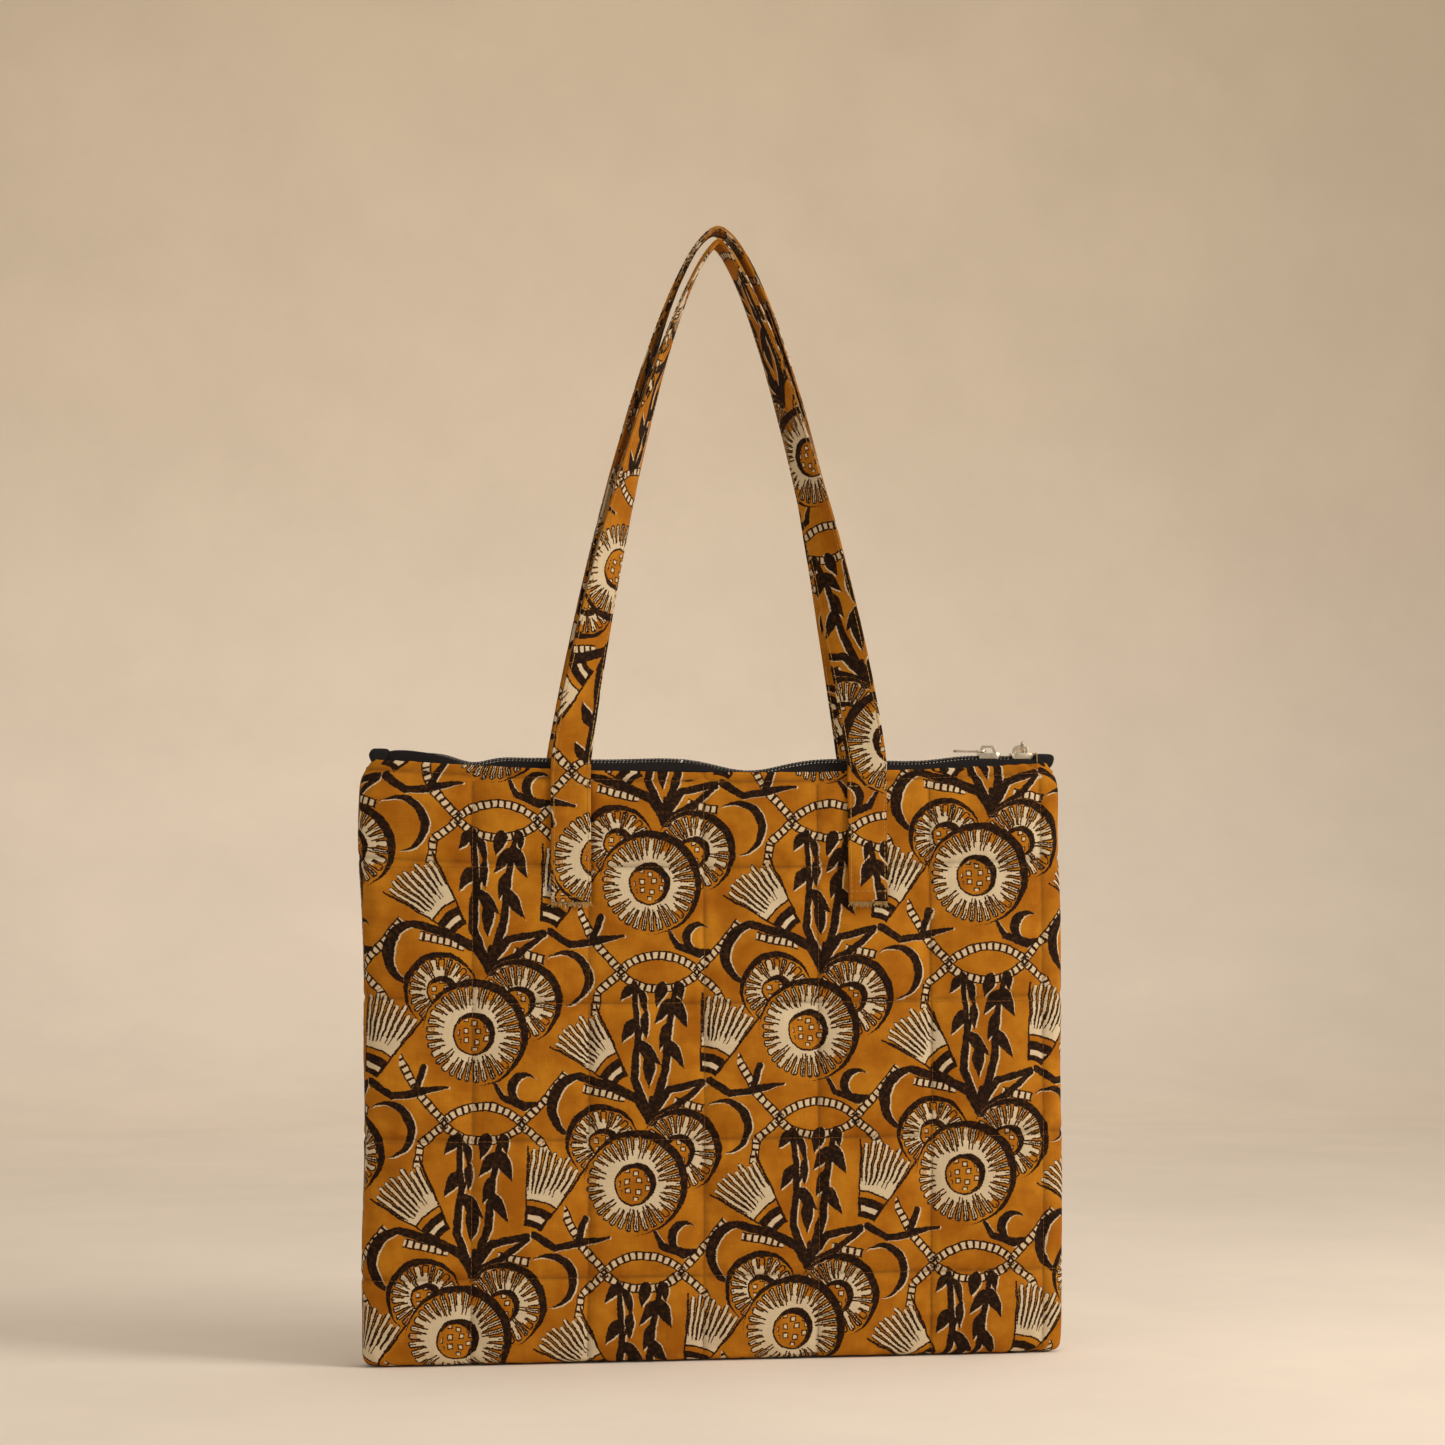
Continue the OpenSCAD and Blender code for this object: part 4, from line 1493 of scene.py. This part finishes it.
def ribbon(name, stations_x, profile, thickness, material):
    """Band of cloth with its section given along x; profile(x) is its middle line."""
    points = []
    cloth = []
    for x in stations_x:
        line_points = [Vector((0, y, z)) for y, z in profile(x)]
        run = 0.0
        upper = []
        lower = []
        for i, point in enumerate(line_points):
            ahead = line_points[min(i + 1, len(line_points) - 1)]
            behind = line_points[max(i - 1, 0)]
            way = (ahead - behind).normalized()
            out = Vector((0, -way.z, way.y)) * thickness / 2
            run += (point - behind).length
            upper.append((x, *(point + out).yz))
            lower.append((x, *(point - out).yz))
            cloth.append((x, run, 0))
        points += upper + lower[::-1]
        cloth += cloth[-len(line_points):][::-1]
    faces = flat_tube(len(stations_x), len(points) // len(stations_x))
    piece = made_of(name, points, faces, material)
    marked(piece, "cloth", cloth, mm)
    return piece


def black_cloth(name, colour, threads, roughness=0.8):
    made_new, tree, shader = material_of(name, roughness)
    shader["Specular IOR Level"].default_value = 0.2
    cloth = kept(tree, "cloth")
    woven = placed(weave, Place=cloth, Threads=threads)
    dust = noise_of(cloth, 240.0, 3.0, 0.7)
    dust = times_plus(dust, 1.4, -0.45)
    lint = tuple(part * 1.8 + 0.002 for part in colour[:3]) + (1.0,)
    base = mixed(larger(dust, 0.0), colour, lint)
    # Painted shade between the yarns: the colour is darker where the weave lies low, down to 0.45
    # in the hollows
    painted_weave_shade = times_plus(woven["Height"], 0.55, 0.45)
    put(shader["Base Color"], shaded(base, painted_weave_shade))
    raised(shader, woven["Height"], 0.00015, 1.0)
    return made_new


tape_cloth = black_cloth("zip_tape_weave", linear(22, 14, 9), 1700.0)
tape_parts = {
    "left": (stations([-tape_half, -open_left, meet - 0.3, meet], 2.5), -open_left),
    "right": (stations([meet, meet + 0.3, open_right, tape_half], 2.5), open_right),
}
for which, side in (("front", -1), ("back", 1)):
    for end, (along_x, closed) in tape_parts.items():
        tape = ribbon(f"{which}_{end}_zip_tape", along_x, lambda x: tape_profile(x, side),
                      tape_t, tape_cloth)
        smoothed(tape)
        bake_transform(tape)
        if end == "left":
            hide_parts(which + "_zip_flap")
    hem = ribbon(
        which + "_zip_hem", stations([-hem_half, hem_half], 4.0),
        lambda x: [(fold_y * side, z) for z in (fold_h - 11, fold_h - 7, fold_h - 3, fold_h)],
        tape_t, tape_cloth
    )
    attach(hem, "bag")
    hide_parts(which + "_zip_tape")

# ---------------------------------------------------------------------------------------------
# Coils. Each is one nylon filament wound flat and sewn along its tape; the turns of the two
# coils alternate, so that their heads lock.
# ---------------------------------------------------------------------------------------------

coil_z = tape_z + tape_t / 2
coil_t = 1.8
coil_pitch = 2.0
coil_reach = 0.9
coil_root = 3.0
coil_row, coil_ids, given, made = row_tree(
    "coil_turns", Pitch=0.002, Wide=0.0039, High=0.0018, Filament=0.0008
)
ring = step_of(
    coil_row, "GeometryNodeCurvePrimitiveCircle", Resolution=5,
    Radius=times(given["Filament"], 0.5)
)
hoop = step_of(coil_row, "GeometryNodeCurvePrimitiveCircle", Resolution=12, Radius=1.0)
place = coil_row.nodes.new("GeometryNodeInputPosition").outputs[0]
parts = parts_of("XYZ", place)
wide = times(minus(given["Wide"], given["Filament"]), 0.5)
tall = times(minus(given["High"], given["Filament"]), 0.5)
flat_top = times(parts["Y"], 1.35)
flat_top = larger(smaller(flat_top, 1.0), -1.0)
wound = coil_row.nodes.new("ShaderNodeCombineXYZ")
put(wound.inputs["X"], times(flat_top, 0.0003))
put(wound.inputs["Y"], times(parts["X"], wide))
put(wound.inputs["Z"], times(flat_top, tall))
turn_line = step_of(
    coil_row, "GeometryNodeSetPosition", Geometry=hoop.outputs[0], Position=wound.outputs[0]
)
one_turn = step_of(
    coil_row, "GeometryNodeCurveToMesh", Curve=turn_line.outputs[0], Profile_Curve=ring.outputs[0]
)
lay_out(coil_row, given, made, one_turn, "Pitch")

nylon, tree, shader = material_of("coil_nylon", 0.34)
place = place_on(tree)
scuffed = noise_of(place, 700.0, 3.0, 0.7)
put(shader["Base Color"], mixed(scuffed, linear(14, 12, 11), linear(40, 36, 33)))
put(shader["Roughness"], times_plus(scuffed, 0.35, 0.2))
raised(shader, noise_of(place, 2200.0), 0.00003, 0.5)
black_thread = thread_material("zip_sewing_thread", linear(34, 30, 28))

coil_middle = (coil_root - coil_reach) / 2
for which, side in (("front", -1), ("back", 1)):
    shift = coil_pitch / 2 if side > 0 else 0
    for end, (along_x, closed) in tape_parts.items():
        first = math.ceil((min(along_x) + 0.1) / coil_pitch) * coil_pitch + shift
        final = math.floor((max(along_x) + 0.1) / coil_pitch) * coil_pitch - shift
        run = []
        for x in np.arange(first, final + 0.01, coil_pitch / 2):
            z = coil_z + coil_t / 2 - zip_sag(x)
            run.append(((x, side * coil_middle, z), (0, 0, 1)))
        coil = worked(lines_of(f"{which}_{end}_zip_coil", [run]), coil_row, coil_ids, nylon,
                      Pitch=coil_pitch * mm, Wide=(coil_root + coil_reach) * mm, High=coil_t * mm,
                      Filament=0.82 * mm)
        seam = [((x, side * 2.35, z + coil_t / 2 + 0.02), out) for (x, _, z), out in run]
        sewn = worked(lines_of(f"{which}_{end}_zip_thread", [seam]), stitch_row, stitch_ids,
                      black_thread, Pitch=coil_pitch * mm, Length=1.9 * mm, Thickness=0.3 * mm,
                      Rise=0.1 * mm)
        for piece in (coil, sewn):
            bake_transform(piece)
        if end == "left":
            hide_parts(which + "_coil")
        elif side < 0:
            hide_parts("left_coil_ends", "right_coil_ends")

# ---------------------------------------------------------------------------------------------
# End tabs. A piece of black twill folded over each end of the zip and tacked down; the right
# one has a row of gold-coloured tacking across it.
# ---------------------------------------------------------------------------------------------

tab_cloth = black_cloth("tab_twill", linear(27, 23, 21), 1500.0)
gold_thread = thread_material("gold_tacking", linear(198, 156, 84))
tab_w = 13.0
tab_in = tape_half - 2
tab_out = tape_half - 2 + 12
tab_low = tape_z - tape_t / 2 - 1.2
tab_high = coil_z + coil_t + 1.2


def tab_section(lift):
    """Outline of the folded tab, seen from the front, as (x, z) in mm; its foot is in the bag."""
    top = tab_high + lift
    return [(tab_in, fold_h - 1), (tab_in + 3, fold_h - 1.5), (tab_out - 6.5, fold_h - 1),
            (tab_out - 4, fold_h + 2.5), (tab_out - 1.2, fold_h + 5), (tab_out, top - 2.4),
            (tab_out - 0.7, top - 0.7), (tab_out - 2.6, top), (tab_in + 4, top + 0.2 * lift),
            (tab_in, top - 0.3 * lift)]


def end_tab(name, node, mirror_x, lift):
    points = []
    cloth = []
    spread = stations([-tab_w / 2, tab_w / 2], 1.1)
    outline = tab_section(0.2)
    for y in spread:
        near_edge = abs(y) / (tab_w / 2)
        pinch = 1 - 0.35 * near_edge**4
        middle_z = (tab_low + tab_high) / 2
        for x, z in outline:
            corner = 1.6 * near_edge**6 if x > tab_out - 1 else 0
            crumple = 0.35 * unevenness(x / 3, y / 3, z / 3 + lift)
            z_own = middle_z + (z - middle_z) * (pinch if z > middle_z else 1) + crumple
            z_own += lift * step_between(-y, 3.2, 5.6) * step_between(z, fold_h, tab_high)
            points.append((mirror_x * (x - corner), y, z_own))
            cloth.append((y, x + z, 0))
    piece = made_of(name, points, flat_tube(len(spread), len(outline)), tab_cloth)
    marked(piece, "cloth", cloth, mm)
    smoothed(piece, 2)
    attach(piece, "bag")
    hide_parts(node)


end_tab("right_tab_fold", "right_end_tab", 1, 0)
end_tab("left_tab_fold", "left_end_tab", -1, 1.4)
tack_x = tab_in + 1.3
tack = [((tack_x, y, tab_high + 0.25), (0, 0, 1)) for y in np.linspace(5.4, -5.6, 20)]
tack += [((tack_x, -6.1, tab_high - 0.4), (0, -0.8, 0.6))]
tack += [((tack_x, -6.5, z), (0, -1, 0)) for z in np.linspace(tab_high - 1.2, tab_low + 0.4, 10)]
tacking = lines_of("right_tab_tacking", [tack])
worked(tacking, stitch_row, stitch_ids, gold_thread, Pitch=0.55 * mm, Length=0.9 * mm,
       Thickness=0.5 * mm, Rise=0.5 * mm)
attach(tacking, "bag")

# ---------------------------------------------------------------------------------------------
# Sliders and pulls. Nickel-plated zinc castings with soft edges; the pulls hang by their eyes
# from the sliders' crowns.
# ---------------------------------------------------------------------------------------------

nickel, tree, shader = material_of("worn_nickel", 0.24, metallic=1.0)
place = place_on(tree)
tarnish = noise_of(place, 330.0, 4.0, 0.65)
tarnish = times_plus(tarnish, 2.2, -0.7)
tarnish = larger(smaller(tarnish, 1.0), 0.0)
put(shader["Base Color"], mixed(tarnish, linear(226, 210, 186), linear(176, 156, 126)))
put(shader["Roughness"], times_plus(tarnish, 0.22, 0.2))
fine = vector_of("MULTIPLY", place, (300.0, 4000.0, 3000.0))
raised(shader, noise_of(fine, 1.0), 0.00002, 0.5)


def softened(node, name, body, width):
    """The casting of that CAD node with its edges rounded."""
    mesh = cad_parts[node].data.copy()
    piece = bpy.data.objects.new(name, mesh)
    mesh.name = name
    scene.collection.objects.link(piece)
    shaped = bmesh.new()
    shaped.from_mesh(mesh)
    bmesh.ops.remove_doubles(shaped, verts=shaped.verts, dist=0.00001)
    bmesh.ops.dissolve_limit(shaped, angle_limit=math.radians(2), verts=shaped.verts,
                             edges=shaped.edges)
    shaped.to_mesh(mesh)
    shaped.free()
    edges = piece.modifiers.new("soft_edges", "BEVEL")
    edges.width = width
    edges.segments = 3
    edges.limit_method = "ANGLE"
    edges.angle_limit = math.radians(35)
    settled(piece)
    piece.data.materials.clear()
    piece.data.materials.append(nickel)
    for face in piece.data.polygons:
        face.material_index = 0
    piece.data.shade_smooth()
    piece.data.set_sharp_from_angle(angle=math.radians(40))
    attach(piece, body)
    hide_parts(node)


for side in ("left", "right"):
    softened(side + "_slider", side + "_slider_casting", side + "_slider", 0.00028)
    softened(side + "_pull", side + "_pull_casting", side + "_pull", 0.0003)

# ---------------------------------------------------------------------------------------------
# Lining and binding. Plain brown cotton inside each panel, and a bias strip of it folded over
# the raw seam allowance down both sides and along the base.
# ---------------------------------------------------------------------------------------------


def plain_cotton(name, colour, threads):
    made_new, tree, shader = material_of(name, 0.9, sheen=0.1)
    cloth = kept(tree, "cloth")
    woven = placed(weave, Place=cloth, Threads=threads)
    dye = noise_of(cloth, 30.0, 4.0, 0.6)
    deep = tuple(part * 0.7 for part in colour[:3]) + (1.0,)
    put(shader["Base Color"], mixed(dye, deep, colour))
    raised(shader, woven["Height"], 0.00012, 1.0)
    return made_new


lining_cotton = plain_cotton("lining_cotton", linear(150, 92, 40), 1500.0)
binding_cotton = plain_cotton("binding_cotton", linear(120, 66, 26), 1500.0)
lining_off = 4.3
lining_t = 0.6
lining_drop = 3.2
lining_columns = plan[::2]


def lining(name, node, side):
    cloth = []
    layers = []
    for own in (lining_off, lining_off + lining_t):
        layer = []
        for kind, amount, v in rows[::2] + rows[-1:]:
            for across, deep in lining_columns:
                rim = top_z(half_w * across) - lining_drop
                share = (amount - base_r) / (top_mid_h - base_r) if kind == "side" else 0
                r = 0.6
                if kind == "base":
                    z = own
                    y = (half_depth(own) - own - r) * amount
                elif kind == "edge":
                    turn = math.radians(amount)
                    z = own + r * (1 - math.cos(turn))
                    y = half_depth(own) - own - r * (1 - math.sin(turn))
                else:
                    z = own + r + (rim - own - r) * share
                    y = half_depth(z) - own
                sway = 0.5 * unevenness(half_w * across / 40, z / 55, side * 7.0)
                inner_y = max(y - 0.35 + min(sway, 0.25), 0) * deep
                layer.append((half_width(z, own) * across, side * (inner_y + 0.1), z))
                cloth.append((half_w * across, v, 0))
        layers.append(layer)
    n = len(lining_columns)
    m = len(layers[0]) // n
    points = layers[0] + layers[1]
    k = n * m
    faces = []
    for j in range(m - 1):
        for i in range(n - 1):
            a = j * n + i
            faces.append((a, a + 1, a + n + 1, a + n))
            faces.append((k + a, k + a + n, k + a + n + 1, k + a + 1))
    for j in (0, m - 1):
        faces += [
            (j * n + i, j * n + i + 1, k + j * n + i + 1, k + j * n + i)
            for i in range(n - 1)
        ]
    for i in (0, n - 1):
        faces += [(j * n + i, (j + 1) * n + i, k + (j + 1) * n + i, k + j * n + i)
                  for j in range(m - 1)]
    piece = made_of(name, points, faces, lining_cotton)
    marked(piece, "cloth", cloth, mm)
    smoothed(piece)
    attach(piece, "bag")
    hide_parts(node)


lining("front_lining_cloth", "front_lining", -1)
lining("back_lining_cloth", "back_lining", 1)

bind_low, bind_high = (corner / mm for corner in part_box("seam_binding"))
bind_w = 8.0
bind_t = 4.0
turn_r = 9.0
binding_sides = 12


def binding_path():
    """Middle line of the bound seam, down the left side, along the base and up the right."""
    side = bind_high.x - bind_w / 2
    foot = bind_low.z + bind_w / 2
    left = [(-side, z) for z in np.arange(bind_high.z, foot + turn_r, -5.0)]
    bend_left = [(-side + turn_r - turn_r * math.cos(a), foot + turn_r - turn_r * math.sin(a))
                 for a in np.linspace(0, math.pi / 2, 7)]
    base = [(x, foot) for x in stations([-side + turn_r, side - turn_r], 5.0)[1:-1]]
    half = left + bend_left
    return half + base + [(-x, z) for x, z in half[::-1]]


points = []
cloth = []
run = 0.0
path = binding_path()
for i, (x, z) in enumerate(path):
    ahead = path[min(i + 1, len(path) - 1)]
    behind = path[max(i - 1, 0)]
    way = Vector((ahead[0] - behind[0], 0, ahead[1] - behind[1])).normalized()
    out = way.cross(Vector((0, 1, 0)))
    run += math.dist((x, z), behind)
    for a in np.arange(0, 360, 360 / binding_sides):
        c, s = math.cos(math.radians(a)), math.sin(math.radians(a))
        w = math.copysign(abs(c) ** 0.5, c) * bind_w / 2
        t = math.copysign(abs(s) ** 0.7, s) * bind_t / 2
        t *= 1 + 0.1 * unevenness(run / 9, a / 60, 2.0)
        point = Vector((x, t, z)) + out * w
        points.append(tuple(point))
        cloth.append((run + w, run * 0.2 - w, 0))
faces = tube(len(path), binding_sides)
last = len(path) * binding_sides
faces += [tuple(range(binding_sides)), tuple(range(last - binding_sides, last))]
binding = made_of("seam_binding_strip", points, faces, binding_cotton)
marked(binding, "cloth", cloth, mm)
smoothed(binding)
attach(binding, "bag")
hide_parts("seam_binding")

# ---------------------------------------------------------------------------------------------
# Floor and wall in one sweep of warm beige card, soft studio light from the right, and camera
# ---------------------------------------------------------------------------------------------

card, tree, shader = material_of("beige_card", 0.95)
shader["Specular IOR Level"].default_value = 0.1
place = place_on(tree)
height = parts_of("XYZ", place)["Z"]
# Painted shade: the card's colour goes from the light floor tone at its foot to a darker tone 1.4
# m up the wall
painted_wall_shade = tree.nodes.new("ShaderNodeMapRange")
put(painted_wall_shade.inputs["Value"], height)
painted_wall_shade.inputs["From Min"].default_value = 0.0
painted_wall_shade.inputs["From Max"].default_value = 1.4
stain = noise_of(place, 4.5, 6.0, 0.65)
stain = times_plus(stain, 0.2, 0.9)
washed = tree.nodes.new("ShaderNodeCombineColor")
for part in range(3):
    put(washed.inputs[part], stain)
card_colour = mixed(painted_wall_shade.outputs[0], linear(236, 220, 200), linear(212, 193, 167))
put(shader["Base Color"], mixed(1.0, card_colour, washed.outputs[0], "MULTIPLY"))

sweep_r = 0.9
sweep_y = 2.6
outline = [(-3.0, 0.0), (-1.5, 0.0), (0.0, 0.0), (sweep_y - sweep_r, 0.0)]
outline += [(sweep_y - sweep_r + sweep_r * math.sin(a), sweep_r - sweep_r * math.cos(a))
            for a in np.linspace(0, math.pi / 2, 13)[1:]]
outline += [(sweep_y, 1.5), (sweep_y, 3.0)]
mesh = bpy.data.meshes.new("sweep")
ends = [-3.5, 3.5]
mesh.from_pydata(
    [(x, y, z) for x in ends for y, z in outline], [],
    [(i, i + len(outline), i + len(outline) + 1, i + 1) for i in range(len(outline) - 1)]
)
mesh.materials.append(card)
mesh.shade_smooth()
sweep = bpy.data.objects.new("sweep", mesh)
scene.collection.objects.link(sweep)


def softbox(name, place, size, power, colour, spread=180, aim=(0, 0, 0.25)):
    lamp = bpy.data.lights.new(name, "AREA")
    lamp.shape = "RECTANGLE"
    lamp.size, lamp.size_y = size
    lamp.energy = power
    lamp.spread = math.radians(spread)
    lamp.color = colour
    light = bpy.data.objects.new(name, lamp)
    light.location = place
    light.rotation_euler = (Vector(aim) - Vector(place)).to_track_quat("-Z", "Y").to_euler()
    scene.collection.objects.link(light)


softbox("key", (1.7, -0.95, 1.1), (0.9, 0.9), 10.8, (1.0, 0.97, 0.93), spread=100)
softbox("fill", (-1.6, -1.8, 1.0), (1.6, 1.6), 5.0, (1.0, 0.98, 0.95))
softbox("top", (0.4, 0.0, 2.2), (1.4, 1.0), 7.0, (1.0, 0.98, 0.95))
softbox("wall_wash", (0.6, 0.7, 2.3), (1.8, 0.8), 5.4, (1.0, 0.98, 0.95), spread=90,
        aim=(0.2, 2.6, 0.7))

world = bpy.data.worlds.new("room")
world.use_nodes = True
world.node_tree.nodes["Background"].inputs["Color"].default_value = (1.0, 0.965, 0.92, 1.0)
world.node_tree.nodes["Background"].inputs["Strength"].default_value = 0.5
scene.world = world

camera_place = Vector((-0.272, -1.779, 0.262))
camera_data = bpy.data.cameras.new("camera")
camera_data.sensor_width = 36.0
camera_data.lens = 82.35
camera = bpy.data.objects.new("camera", camera_data)
camera.location = camera_place
yaw = math.atan2(-camera_place.x, -camera_place.y)
camera.rotation_euler = (math.radians(92.6), 0, -yaw + math.radians(-0.11))
scene.collection.objects.link(camera)
scene.camera = camera
scene.view_settings.view_transform = "Standard"
